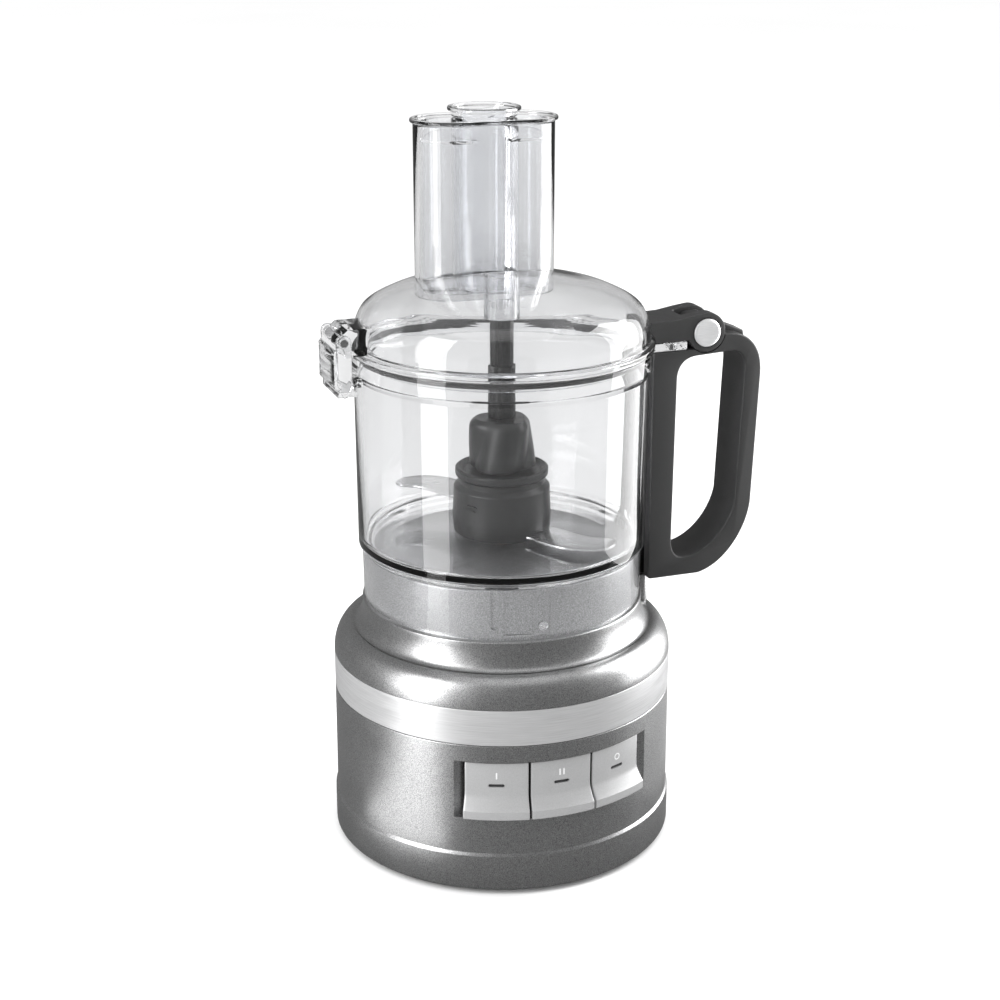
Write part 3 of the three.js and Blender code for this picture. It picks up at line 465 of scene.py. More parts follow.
def clear_plastic(name, tint):
    plastic = Finish(name, grey(tint), 0.02)
    plastic.speckle(60, 0.015).grain(34, 0.05, (1, 1, 2.5), 0.0)
    plastic.set(Transmission_Weight=1.0, IOR=1.46)
    nodes, links = plastic.nodes, plastic.links
    through = nodes.new("ShaderNodeBsdfTransparent")
    through.inputs["Color"].default_value = (0.94, 0.94, 0.945, 1)
    shader, clear = plastic.shader.outputs["BSDF"], through.outputs["BSDF"]
    shown = by_ray(plastic.material.node_tree, "Is Shadow Ray", shader, clear)
    links.new(shown, nodes["Material Output"].inputs["Surface"])
    return plastic.material


def black_plastic():
    plastic = Finish("black_plastic", grey(0.007), 0.33)
    plastic.speckle(0.5, 0.9, 0.4, 0.75, 1.0).grain(0.7, 0.05).worn(6, 0.28, 0.4)
    return plastic.set(Specular_IOR_Level=0.4).material


def steel():
    metal = Finish("steel", grey(0.55), 0.2, 1.0)
    return metal.speckle(0.3, 0.07, stretch=(20, 1, 1)).worn(7, 0.16, 0.28, (6, 1, 1)).material


def rubber():
    soft = Finish("rubber", grey(0.01), 0.6)
    return soft.speckle(1.5, 0.2).grain(0.6, 0.02).worn(10, 0.5, 0.66).material


def nylon():
    plastic = Finish("nylon", (0.72, 0.7, 0.64), 0.45)
    return plastic.speckle(8, 0.05).grain(0.8, 0.01).set(Subsurface_Weight=0.1).material


def bearing_bronze():
    metal = Finish("bearing_bronze", (0.42, 0.24, 0.12), 0.35, 0.9)
    return metal.speckle(0.4, 0.2).grain(0.3, 0.01).material


def armature():
    metal = Finish("armature", (0.36, 0.17, 0.08), 0.4, 0.7)
    return metal.speckle(0.8, 0.25, stretch=(1, 1, 30)).grain(0.8, 0.1, (1, 1, 30)).material


def circuit_board():
    board = Finish("circuit_board", (0.03, 0.13, 0.05), 0.4)
    return board.speckle(3, 0.35).grain(1.2, 0.03).material


# Black plastic for the lamp bars and the interlock switch; on the button bezel this black is
# painted shade for the dark gaps round the buttons.
def black_and_painted_shade():
    plastic = Finish("black_and_painted_shade", grey(0.02), 0.6)
    return plastic.speckle(1, 0.2).grain(0.5, 0.01).material


def cap_silver():
    metal = Finish("cap_silver", grey(0.8), 0.34, 0.6)
    return metal.speckle(0.3, 0.05, stretch=(14, 14, 1)).worn(4, 0.3, 0.4).material


def printed_white():
    ink = Finish("printed_white", grey(0.62), 0.5)
    return ink.speckle(0.5, 0.05).grain(0.3, 0.004).material


SILVER = silver_paint()
BAND = brushed_band()
SATIN = satin_grey()
SOFT = soft_grey()
CLEAR = clear_plastic("clear_plastic", 0.89)
PUSHER_CLEAR = clear_plastic("pusher_plastic", 0.97)
BLACK = black_plastic()
STEEL = steel()
RUBBER = rubber()
NYLON = nylon()
BRONZE = bearing_bronze()
ARMATURE = armature()
BOARD = circuit_board()
BLACK_AND_PAINTED_SHADE = black_and_painted_shade()
CAP = cap_silver()
INK = printed_white()

# Base --------------------------------------------------------------------------------


def base_housing():
    inner = BASE_RADIUS - BASE_WALL
    neck = inner - GAP / 2
    band_seat = band_low.z - GAP
    neck_top = housing_high.z
    shell = turned(fillet([
        (inner, housing_low.z, 0.6),
        (SKIRT_RADIUS, housing_low.z, 1.6),
        (SKIRT_RADIUS, SKIRT_TOP - 1.0, 1.0),
        (BASE_RADIUS + 0.2, SKIRT_TOP + 0.6, 0.8),
        (BASE_RADIUS, band_seat, 0.5),
        (neck, band_seat, 0),
        (neck, neck_top, 0.4),
        (neck - 2.4, neck_top, 0.4),
        (neck - 2.4, band_seat - 3.5, 0),
        (inner, band_seat - 6, 0),
    ]))
    lining_half = WINDOW_HALF + 5
    lining = swept(
        [(88.4, 41), (inner + 0.6, 41), (inner + 0.6, 80), (88.4, 80)], -lining_half, lining_half
    )
    housing = joined(shell, lining)
    window = cut(housing, button_window())
    hole = turned_across(circle_profile(6 + GAP, 82, 98), 0, 14)
    return cut(window, hole)


def button_window():
    """The opening for the buttons, whose two end walls slope out to the surface."""
    inner_half, outer_half = math.radians(WINDOW_HALF - 0.5), math.radians(WINDOW_HALF + 2.1)
    near, far, reach = 88.4, BASE_RADIUS, 7
    corners = []
    for side in (-1, 1):
        a = Vector((side * near * math.sin(inner_half), -near * math.cos(inner_half)))
        b = Vector((side * far * math.sin(outer_half), -far * math.cos(outer_half)))
        corners.append((a, b + (b - a).normalized() * reach))
    (left_in, left_out), (right_in, right_out) = corners
    front = -BASE_RADIUS - 12
    outline = [left_in, left_out, (left_out.x, front), (right_out.x, front), right_out, right_in]
    return upright([tuple(p) for p in outline], BUTTON_BOTTOM - 0.8, BUTTON_TOP + 0.8)


def circle_profile(radius, low, high, edge=0):
    """Outline for turning a solid bar, from its axis out."""
    return fillet([(0, low, 0), (radius, low, edge), (radius, high, edge), (0, high, 0)], 4)


def turned_across(profile, x, z, sides=SMALL_RING):
    """A turned shape laid along Y, with its heights measured along Y, at x and z."""
    shape = turned(profile, sides)
    shape.data.transform(Matrix.Translation((x, 0, z)) @ Matrix.Rotation(-math.pi / 2, 4, "X"))
    return shape


def trim_band():
    inner = BASE_RADIUS - BASE_WALL + 0.2
    return turned(fillet([
        (inner, band_low.z, 0.2),
        (BASE_RADIUS, band_low.z, 0.45),
        (BASE_RADIUS, band_high.z, 0.45),
        (inner, band_high.z, 0.2),
    ]))


def post_pocket(inner, outer):
    half = 7.5 + GAP
    return upright(rectangle(inner, outer, -half, half, 3), 110, SKIRT_BOTTOM + 2)


def shoulder_cover():
    bottom = band_high.z + GAP
    rise = COLLAR_BOTTOM - GAP - bottom
    run = BASE_RADIUS - COLLAR_RADIUS

    def edge(inset, angle):
        radius = COLLAR_RADIUS - inset + run * math.cos(angle)
        return (radius, bottom + (rise - inset) * math.sin(angle))

    steps = 16
    angles = [k * math.pi / 2 / steps for k in range(steps + 1)]
    outside = [edge(0, a) for a in angles]
    inside = [edge(2.2, a) for a in reversed(angles)]
    return cut(turned([*outside, *inside]), post_pocket(77.5, 86.5))


def bowl_seat():
    def cove(inset, steps=12):
        angles = [k * math.pi / 2 / steps for k in range(steps + 1)]
        return [
            (
                NECK_RADIUS - inset + (COLLAR_RADIUS - NECK_RADIUS) * (1 - math.sin(a)),
                COLLAR_BOTTOM + COVE_HEIGHT * (1 - math.cos(a)),
                0,
            )
            for a in angles
        ]

    bore = 9.2
    shell = turned(fillet([
        *cove(0),
        (NECK_RADIUS, DECK, 0.8),
        (DRUM_RADIUS, DECK, 0),
        (DRUM_RADIUS, DRUM_TOP, 1.2),
        (bore + 5, DRUM_TOP, 0.3),
        (bore + 4, DRUM_TOP - 1, 0.3),
        (bore, DRUM_TOP - 1, 0),
        (bore, DRUM_TOP - 9, 0),
        (bore + 3, DRUM_TOP - 9, 0),
        (bore + 3, DRUM_TOP - 2.5, 0),
        (DRUM_RADIUS - 2.5, DRUM_TOP - 2.5, 0),
        (DRUM_RADIUS - 2.5, DECK - 2.5, 0),
        *reversed(cove(2.2)),
    ]))
    slot = wrapped(rectangle(-1.8, 1.8, SKIRT_BOTTOM + 5, DRUM_TOP + 3, 1.7), 71.6, 3, -23)
    panel = wrapped(rectangle(-7.4, 7.4, DECK + 3, DRUM_TOP - 3, 0.5), 72.2, 3, -13.5)
    strip = wrapped(rectangle(-3.6, 3.6, DECK + 2, DRUM_TOP - 3, 0.3), 72.5, 3, -3)
    return cut(shell, post_pocket(77.5, 86.5), slot, panel, strip)


def seat_screw():
    screw = turned_across(fillet([
        (0, -73.3, 0), (1, -73.3, 0.2), (1.2, -72.9, 0.2), (1.9, -72.9, 0.2), (2.2, -73.35, 0.3),
        (2.6, -73.2, 0.2), (2.6, -72, 0), (0, -72, 0),
    ], 3), 0, 144.5)
    screw.data.transform(Matrix.Rotation(math.radians(-3), 4, "Z"))
    return screw


def interlock_post():
    low, high = extent("interlock_post")
    pillar = upright(rectangle(low.x, high.x, low.y, high.y, 3.4), low.z, high.z)
    pillar = rounded(pillar, 0.6)
    passage = turned(circle_profile(1.5, low.z - 1, high.z + 1), SMALL_RING, (82.9, 0))
    chamber = turned(circle_profile(3.3, low.z + 1.5, high.z - 2), SMALL_RING, (82.9, 0))
    return cut(pillar, passage, chamber)


def rubber_foot(number):
    low, high = extent(f"foot_{number}")
    centre, radius = (low + high) / 2, (high.x - low.x) / 2
    return turned(fillet([
        (0, low.z, 0), (radius - 0.4, low.z, 0.8), (radius, high.z, 0.3), (0, high.z, 0),
    ]), SMALL_RING, (centre.x, centre.y))


def cord_bush():
    low, high = extent("cord_bush")
    height = (low.z + high.z) / 2
    return turned_across(fillet([
        (3.6, low.y, 0.4), (7.9, low.y, 0.3), (7.9, 88.6, 0.3), (6, 88.6, 0.2),
        (6, high.y, 1.2), (3.6, high.y, 1.2),
    ]), 0, height)


# Buttons -------------------------------------------------------------------------------


def paddle(direction):
    face = PADDLE_FACE
    lip = BASE_RADIUS + 3.6
    back = BASE_RADIUS - BASE_WALL + 0.3
    hollow = smooth([
        (lip - 0.5, 50.5), (lip - 1.6, 52), (face + 1.5, 54.6), (face + 0.4, 57), (face + 0.05, 60),
    ])
    outline = [
        (back, BUTTON_BOTTOM),
        (lip - 0.7, BUTTON_BOTTOM),
        (lip - 0.15, BUTTON_BOTTOM + 0.5),
        (lip, BUTTON_BOTTOM + 1.3),
        (lip, 49.9),
        *hollow,
        (face, 63),
        (face, BUTTON_TOP - 0.7),
        (face - 0.2, BUTTON_TOP - 0.2),
        (face - 0.6, BUTTON_TOP),
        (back, BUTTON_TOP),
    ]
    half = BUTTON_SPAN / 2
    shape = swept(outline, direction - half, direction + half)
    shape = rounded(shape, 0.4, 2, 60)
    lamp = wrapped(stadium(4.3, 0.9, (0, LAMP_HEIGHT)), face - 0.7, 3, direction)
    return cut(shape, lamp)


def lamp_bar(direction):
    return wrapped(stadium(4.0, 0.65, (0, LAMP_HEIGHT), 8), PADDLE_FACE - 0.6, 0.25, direction)


def symbol(kind, direction):
    """A bar for low, two bars for high, a ring for off and pulse."""
    radius, depth = PADDLE_FACE - 0.08, 0.14
    if kind == "pulse":
        middle_point = (0, SYMBOL_HEIGHT)
        ring = wrapped(circle(1.9, middle_point, 32), radius, depth, direction)
        hole = wrapped(circle(1.25, middle_point, 32), radius - 1, depth + 2, direction)
        return cut(ring, hole)
    bars = [
        wrapped(stadium_up(0.4, 1.9, x, SYMBOL_HEIGHT), radius, depth, direction)
        for x in ([0] if kind == "low" else [-1.1, 1.1])
    ]
    return joined(bars[0], *bars[1:])


def stadium_up(half_width, half_height, x, z):
    return [(x + b, z + a) for a, b in stadium(half_height, half_width, (0, 0), 8)]


# Bowl and handle -----------------------------------------------------------------------

STRAP_BOTTOM = BOWL_RIM - 8.2
STRAP_TOP = BOWL_RIM - 3.8
STRAP_HALF = HALF_GRIP - 0.2
SCREW_X = 93


def clear_bowl():
    skirt_in = DRUM_RADIUS + 0.6
    inner = BOWL_RADIUS - BOWL_WALL
    rim_in = BOWL_RIM_RADIUS - 2.7
    shell = turned(fillet([
        (skirt_in, SKIRT_BOTTOM, 0.6),
        (skirt_in + 2.4, SKIRT_BOTTOM, 0.9),
        (skirt_in + 2.5, SKIRT_BOTTOM + 2.4, 0),
        (skirt_in + 2.9, BOWL_FLOOR - 2, 0.8),
        (BOWL_RADIUS, BOWL_FLOOR + 0.3, 0.8),
        (BOWL_RADIUS + 0.6, BOWL_NECK, 1.5),
        (BOWL_RIM_RADIUS, BOWL_NECK + 3, 1.5),
        (BOWL_RIM_RADIUS, BOWL_RIM, 0.9),
        (rim_in, BOWL_RIM, 0.6),
        (rim_in, BOWL_NECK + 3.4, 1.2),
        (inner + 0.6, BOWL_NECK, 1.5),
        (inner, BOWL_INSIDE, 4),
        (TUBE_RADIUS, BOWL_INSIDE, 1.5),
        (TUBE_RADIUS, TUBE_TOP, 0.6),
        (TUBE_RADIUS - BOWL_WALL, TUBE_TOP, 0.6),
        (TUBE_RADIUS - BOWL_WALL, BOWL_FLOOR, 1),
        (skirt_in, BOWL_FLOOR, 0.6),
    ]))
    upper = upright(
        rectangle(inner + 2, COLUMN_OUTER, -COLUMN_HALF, COLUMN_HALF, 2),
        BOWL_FLOOR + 1, STRAP_BOTTOM + 1,
    )
    lower = upright(
        rectangle(skirt_in + 1.4, COLUMN_OUTER, -COLUMN_HALF, COLUMN_HALF, 2),
        SKIRT_BOTTOM, BOWL_FLOOR + 2,
    )
    strap = upright(
        rectangle(rim_in + 1.3, bowl_high.x, -STRAP_HALF, STRAP_HALF, 2), STRAP_BOTTOM, STRAP_TOP
    )
    lug = upright(rectangle(-84, -rim_in - 1, -9, 9, 2), BOWL_RIM - 14, BOWL_RIM - 9.2)
    channel = upright(rectangle(81.4, 84.4, -3.2, 3.2), SKIRT_BOTTOM - 1, BOWL_RIM)
    screw_height = (STRAP_BOTTOM + STRAP_TOP) / 2
    screw = turned_across(circle_profile(1.8, -HALF_GRIP - 8, -6.7), SCREW_X, screw_height)
    bowl = joined(shell, upper, lower, rounded(strap, 0.6), rounded(lug, 0.6))
    return cut(bowl, channel, screw, *ear_room())


def ear_room():
    """Room for the two hinge ears, one each side of the handle's knuckle."""
    radius = EAR_RADIUS + GAP + 0.1
    inner = KNUCKLE_HALF + GAP
    return [
        turned_across(circle_profile(radius, *ends), HINGE.x, HINGE.z, RING)
        for ends in ((-HALF_GRIP - 10, -inner), (inner, HALF_GRIP + 10))
    ]


def strap_screw():
    low, high = extent("strap_screw")
    height = (low.z + high.z) / 2
    screw = turned_across(fillet([
        (0, low.y, 0), (1.5, low.y, 0.4), (1.5, high.y, 0), (0, high.y, 0),
    ], 4), SCREW_X, height)
    arms = [
        side_on(rectangle(SCREW_X - a, SCREW_X + a, height - b, height + b), low.y - 1, low.y + 0.6)
        for a, b in ((1.0, 0.2), (0.2, 1.0))
    ]
    return cut(screw, *arms)


def handle_loop():
    """Outside and inside outlines of the handle, seen from the front."""
    back, reach, bottom, top = grip_low.x, grip_high.x, grip_low.z, BOWL_RIM - 1.2
    outside = [
        *bezier((back, bottom + 2.5), (back, bottom), (back + 2.5, bottom), steps=5),
        *bezier(
            (back + 31, bottom), (reach - 18, bottom + 3), (reach - 5, bottom + 22),
            (reach - 3, bottom + 39), steps=22,
        ),
        *bezier(
            (reach, top - 24), (reach + 0.4, top - 9), (reach - 8, top), (reach - 20, top),
            steps=18,
        ),
        (HINGE.x - 4, top),
        (HINGE.x - 5, STRAP_BOTTOM - GAP),
        (back, STRAP_BOTTOM - GAP),
    ]
    left, right, ceiling, floor = back + 14, reach - 10, top - 11, bottom + 11
    inside = [
        *bezier((left, floor + 12), (left, floor), (left + 8, floor)),
        *bezier(
            (left + 8, floor), (right - 20, floor), (right - 6, floor + 14),
            (right - 3, floor + 30), steps=20,
        )[1:],
        *bezier((right, ceiling - 9), (right, ceiling + 1), (right - 9, ceiling + 1)),
        *bezier((left + 14, ceiling), (left + 1.6, ceiling), (left + 0.8, ceiling - 12)),
    ]
    return outside, inside


def handle_grip():
    outside, inside = handle_loop()
    half = HALF_GRIP
    loop = cut(side_on(outside, -half, half), side_on(inside, -half - 1, half + 1))
    loop = rounded(loop, 1.7, 4, 50)
    top = BOWL_RIM - 1.2
    knuckle = 8.8
    ramp = side_on(fillet([
        (HINGE.x - knuckle, top - 6, 0),
        (HINGE.x + 27, top - 6, 0),
        (HINGE.x + 26, top - 0.8, 0),
        (HINGE.x + 10, HINGE.z + 4.2, 6),
        (HINGE.x + 2, HINGE.z + knuckle, 5),
        (HINGE.x - knuckle, HINGE.z + knuckle, 7),
    ]), -KNUCKLE_HALF, KNUCKLE_HALF)
    channel = upright(
        rectangle(grip_low.x - 3, COLUMN_OUTER + 0.4, -COLUMN_HALF - GAP, COLUMN_HALF + GAP),
        grip_low.z - 5, STRAP_BOTTOM + 5,
    )
    bore = turned_across(circle_profile(3.3, -half, half), HINGE.x, HINGE.z)
    grip = cut(loop, channel, *ear_room())
    return cut(joined(grip, rounded(ramp, 0.7)), bore)


# Knife -----------------------------------------------------------------------------------


def blade_hub():
    radius, bottom, top = hub_high.y, hub_low.z, hub_high.z
    inner = TUBE_RADIUS + 0.8
    socket = 9.6
    ring = turned(fillet([
        (inner, bottom, 0.4),
        (radius - 0.6, bottom, 1.5),
        (radius, bottom + 9, 4),
        (radius - 0.8, 198.5, 1.6),
        (radius - 2.4, 200.2, 0.6),
        (radius - 3.3, 201, 0.8),
        (radius - 3.3, top - 5.6, 1.4),
        (radius - 1.7, top - 4.4, 1.0),
        (radius - 1.6, top - 0.6, 1.0),
        (radius - 3.2, top, 0.8),
        (radius - 4.6, top - 0.8, 0.6),
        (radius - 6.2, top - 2.4, 0.5),
        (socket, top - 2.4, 0.3),
        (socket, top - 4.2, 0),
        (inner, top - 4.2, 0),
    ]))
    ledge = fillet([
        (-24, 190.2, 1), (-19, 190.2, 2), (14, 175.6, 2), (20, 174.2, 1), (20, 176.6, 1),
        (14.5, 177.6, 2), (-18.6, 192.8, 2), (-24, 192.8, 1),
    ])
    ledges = [rounded(wrapped(ledge, radius - 2, 2.5, side), 0.5) for side in (-10, 170)]
    return joined(ring, *ledges)


def blade_grip():
    """A twisted grip with three lobes, rounded in at the top."""
    height = knob_high.z - knob_low.z
    rings, sides = 26, 96
    bm = bmesh.new()
    levels = []
    for k in range(rings + 1):
        rise = k / rings
        turn = 0.7 * rise
        drawn_in = 1 - 0.08 * rise - 0.16 * max(0, (rise - 0.82) / 0.18) ** 2.4
        ring = []
        for i in range(sides):
            angle = TURN * i / sides
            lobe = math.cos(3 * angle)
            radius = (17.2 + 1.6 * lobe + 0.5 * abs(math.sin(3 * angle))) * drawn_in
            place = angle + turn
            level = knob_low.z + height * rise
            ring.append(bm.verts.new((radius * math.cos(place), radius * math.sin(place), level)))
        levels.append(ring)
    for ring, following in zip(levels, levels[1:]):
        for i in range(sides):
            j = (i + 1) % sides
            bm.faces.new((ring[i], ring[j], following[j], following[i]))
    bm.faces.new(levels[0])
    bm.faces.new(levels[-1])
    knob = as_object(bm)
    socket = turned(circle_profile(9.6, knob_low.z - 1, 228), SMALL_RING)
    return cut(knob, socket)


def flutes(outer, inner, count, steps=8):
    points = []
    for i in range(count * steps):
        angle = TURN * i / (count * steps)
        wave = max(-1, min(1, 1.8 * math.cos(count * angle)))
        radius = (outer + inner) / 2 + (outer - inner) / 2 * wave
        points.append((radius * math.cos(angle), radius * math.sin(angle)))
    return points


def blade_stem():
    step = knob_high.z + 26
    lower = rounded(upright(flutes(7.6, 6.4, 6), stem_low.z, step), 0.4, 2, 60)
    upper = rounded(upright(flutes(6.4, 5.2, 6), step - 1, stem_high.z), 0.4, 2, 60)
    return joined(lower, upper)


def steel_blade(direction, level):
    root, tip, radius = 11, 68, hub_high.y
    right = smooth([
        (root, -radius + 5), (root, -radius - 3), (9.6, -tip + 24), (10.4, -tip + 15),
        (14, -tip + 7), (11, -tip + 1), (2, -tip),
    ])
    left = smooth([
        (2, -tip), (-8, -tip + 7), (-13, -tip + 19), (-12.5, -radius - 8), (-root, -radius - 1),
        (-root, -radius + 5),
    ])
    blade = rounded(upright([*right, *left[1:]], level, level + 1.6), 0.5, 2, 60)
    blade.data.transform(Matrix.Rotation(math.radians(direction), 4, "Z"))
    return blade


# Lid, hinge and latch ---------------------------------------------------------------------


def clear_lid():
    flange = BOWL_RIM + 0.4
    flange_top = flange + 3
    outer_edge = FLANGE_RADIUS
    outside = smooth([
        (outer_edge - 2.6, flange_top + 1.6),
        (outer_edge - 3.1, flange_top + 7),
        (outer_edge - 4.6, flange_top + 13),
        (outer_edge - 8.2, flange_top + 18.8),
        (outer_edge - 16, flange_top + 23.6),
        (outer_edge - 29, flange_top + 28.6),
        (outer_edge - 54, LID_CROWN - 1.6),
        (0, LID_CROWN),
    ], 6)
    inside = smooth([
        (0, LID_CROWN - 2.5),
        (outer_edge - 54.5, LID_CROWN - 4.1),
        (outer_edge - 30, flange_top + 26.1),
        (outer_edge - 17.4, flange_top + 21.4),
        (outer_edge - 10.4, flange_top + 17.2),
        (outer_edge - 7.2, flange_top + 12.2),
        (outer_edge - 5.8, flange_top + 7),
        (outer_edge - 5.7, flange_top + 1),
    ], 6)
    dome = turned([
        *fillet([
            (72.2, lid_low.z, 0.6), (74.5, lid_low.z, 0.6), (74.5, flange, 0),
            (outer_edge, flange, 0.5), (outer_edge, flange_top, 1.0),
            (outer_edge - 2.3, flange_top + 0.6, 0.5),
        ])[:-1],
        *outside,
        *inside,
        (72.2, flange_top - 1),
    ])
    lug_half = LATCH_HALF - 3.5
    nose = LATCH_PIN.x
    lug = side_on([
        (nose, LATCH_PIN.z - 3.6),
        *reversed(arc((nose, LATCH_PIN.z), 3.6, 90, 270)),
        (nose, LATCH_PIN.z + 3.6), (nose + 3, LATCH_PIN.z + 6), (-67, LATCH_PIN.z + 6),
        (-67, flange_top), (nose + 1.5, flange_top),
    ], -lug_half, lug_half)
    bulk = turned([
        (0, lid_low.z - 1), (outer_edge - 4.4, lid_low.z - 1), (outer_edge - 4.4, flange_top + 8),
        (outer_edge - 8.5, flange_top + 16), (outer_edge - 20, LID_CROWN), (0, LID_CROWN),
    ])
    lug = cut(lug, bulk)
    depth = CHUTE_DEPTH
    tube = turned(fillet([
        (depth - CHUTE_WALL, CHUTE_SKIRT, 0.8), (depth, CHUTE_SKIRT, 0.8),
        (depth, CHUTE_TOP, 0.8), (depth - CHUTE_WALL, CHUTE_TOP, 0.8),
    ], 4), RING, (0, CHUTE_Y), CHUTE_STRAIGHT)
    half_wall = CHUTE_WALL / 2
    bore = upright(
        stadium(CHUTE_STRAIGHT + depth - half_wall, depth - half_wall, (0, CHUTE_Y), RING // 2),
        CHUTE_SKIRT - 9, CHUTE_TOP - 30,
    )
    boss_low = stem_high.z + 0.6
    boss = turned(fillet([
        (7.4, boss_low, 0.5), (9.5, boss_low, 0.5), (9.5, LID_CROWN - 1.2, 0),
        (7.4, LID_CROWN - 1.2, 0),
    ], 3), SMALL_RING)
    pin_hole = turned_across(circle_profile(2.3, -20, 20), nose, LATCH_PIN.z)
    lid = joined(cut(dome, bore), rounded(lug, 0.5, 2), boss, tube)
    clear = upright(
        stadium(CHUTE_STRAIGHT + depth - CHUTE_WALL, depth - CHUTE_WALL, (0, CHUTE_Y), RING // 2),
        CHUTE_SKIRT - 9, CHUTE_SKIRT + 20,
    )
    return cut(lid, clear, pin_hole)


def lid_seal():
    inner = 74.8
    return turned(fillet([
        (inner, seal_low.z, 0.5), (seal_high.y, seal_low.z, 1.2),
        (seal_high.y, seal_low.z + 1.6, 0.4),
        (seal_high.y - 0.8, seal_low.z + 2.1, 0.4), (seal_high.y, seal_low.z + 2.6, 0.4),
        (seal_high.y, seal_high.z, 1.0), (inner, seal_high.z, 0.5),
    ]))


def hinge_arm():
    bottom, top = STRAP_TOP + 0.5, HINGE.z + 8.7
    bar = side_on([
        (FLANGE_RADIUS - 6, bottom),
        (HINGE.x - 10, bottom),
        *arc((HINGE.x, HINGE.z), EAR_RADIUS, 205, 450, 40),
        (HINGE.x - 8, HINGE.z + EAR_RADIUS - 1.0),
        (HINGE.x - 18, top - 0.4),
        (FLANGE_RADIUS - 6, top - 1.2),
    ], -HALF_GRIP, HALF_GRIP)
    slot_half = KNUCKLE_HALF + GAP
    slot = upright(
        rectangle(HINGE.x - 12.5, HINGE.x + 20, -slot_half, slot_half, 2), bottom - 20, HINGE.z + 20
    )
    arm = rounded(cut(bar, slot), 0.7, 3, 50)
    lid_room = turned(circle_profile(FLANGE_RADIUS + GAP, 200, 400))
    rod_room = upright(rectangle(FLANGE_RADIUS - 8, 85.3, -5, 5), bottom - 1, bottom + 3)
    bore = turned_across(circle_profile(3.15, -HALF_GRIP - 1, HALF_GRIP + 1), HINGE.x, HINGE.z)
    dish = [
        turned_across(circle_profile(8.4, *ends), HINGE.x, HINGE.z, RING)
        for ends in ((-HALF_GRIP - 1, -HALF_GRIP + 0.5), (HALF_GRIP - 0.5, HALF_GRIP + 1))
    ]
    return cut(arm, lid_room, rod_room, bore, *dish)


def hinge_cap(node):
    low, high = extent(node)
    radius = (high.x - low.x) / 2
    outer, inner = (low.y, high.y) if low.y < 0 else (high.y, low.y)
    back = inner - math.copysign(0.6, outer)
    return turned_across(fillet([
        (0, outer - math.copysign(0.25, outer), 0),
        (radius - 1.2, outer, 0.4),
        (radius, outer - math.copysign(0.5, outer), 0.3),
        (radius, back, 0),
        (0, back, 0),
    ]), HINGE.x, HINGE.z, RING)


def latch_lever():
    x, z, bottom = LATCH_PIN.x, LATCH_PIN.z, latch_low.z
    cheek = fillet([
        (x - 3.9, bottom + 7, 2),
        (x - 0.6, bottom, 0.8),
        (x + 1.4, bottom + 0.4, 0.8),
        (x + 3.9, bottom + 6, 2),
        (x + 3.9, latch_high.z, 3.6),
        (x - 3.9, latch_high.z, 3.6),
    ])
    half = LATCH_HALF
    cheeks = [
        rounded(side_on(cheek, *ends), 0.55) for ends in ((-half, -half + 3), (half - 3, half))
    ]
    inside = half - 1
    front = side_on([
        (x - 5.4, bottom + 6), (x - 4.4, bottom + 4.6), (x - 2.9, bottom + 5),
        (x - 2.9, z - 4.6), (x - 4.2, z - 3.6), (x - 5.4, z - 5),
    ], -inside, inside)
    hook = side_on(rectangle(x - 3.5, -84.4, bottom + 0.4, bottom + 2.9, 0.4), -inside, inside)
    web = side_on(rectangle(x - 3.5, x - 1.5, bottom + 0.4, bottom + 8), -inside, inside)
    bars = [
        turned_across(circle_profile(1.3, -inside, inside, 0.4), x - 4.2, level)
        for level in (z - 13, z - 19)
    ]
    bore = turned_across(circle_profile(2.3, -half - 1, half + 1), x, z)
    lever = joined(cheeks[0], cheeks[1], rounded(front, 0.4), hook, web, *bars)
    return cut(lever, bore)


# Pushers ----------------------------------------------------------------------------------


def large_pusher():
    low, seat, top = large_low.z, CHUTE_TOP + GAP, large_high.z
    outer = CHUTE_DEPTH - CHUTE_WALL - 0.5
    wall = 2.2
    lip = large_high.y - CHUTE_Y
    shell = turned(fillet([
        (outer - wall, low, 0.6), (outer, low, 1.2), (outer, seat, 0.3), (lip, seat, 0.9),
        (lip, top, 1.0), (lip - 2.6, top, 0.8), (outer - wall, seat - 1.4, 1.5),
    ], 5), RING, (0, CHUTE_Y), CHUTE_STRAIGHT)
    reach = outer - wall / 2

    def plate(z0, z1):
        return upright(stadium(CHUTE_STRAIGHT + reach, reach, (0, CHUTE_Y), 40), z0, z1)

    sleeve_in = (small_high.x - small_low.x) / 2 - 4 + 0.5
    sleeve = turned(fillet([
        (sleeve_in, low, 0.4), (sleeve_in + 1.6, low, 0.4), (sleeve_in + 1.6, top - 1.2, 0.5),
        (sleeve_in, top - 1.2, 0.5),
    ], 3), RING, (0, CHUTE_Y))
    bore = turned(circle_profile(sleeve_in, low - 1, top + 1), RING, (0, CHUTE_Y))
    deck = top - 12
    whole = joined(shell, plate(low, low + wall), plate(deck, deck + 1.6), sleeve)
    return cut(whole, bore)


def small_pusher():
    low, top = small_low.z, small_high.z
    lip = (small_high.x - small_low.x) / 2
    radius, seat, wall = lip - 4, CHUTE_TOP + 2.9, 2.2
    return turned(fillet([
        (0, low, 0),
        (radius, low, 1.4),
        (radius, seat, 0.4),
        (radius + 2, seat, 0.4),
        (radius + 2, top - 2.4, 0.6),
        (lip, top - 2.2, 0.8),
        (lip, top, 0.9),
        (radius + 1.6, top, 0.8),
        (radius - wall, seat - 3, 1.5),
        (radius - wall, low + wall, 1.2),
        (0, low + wall, 0),
    ]), RING, (0, CHUTE_Y))


# The assembly -----------------------------------------------------------------------------

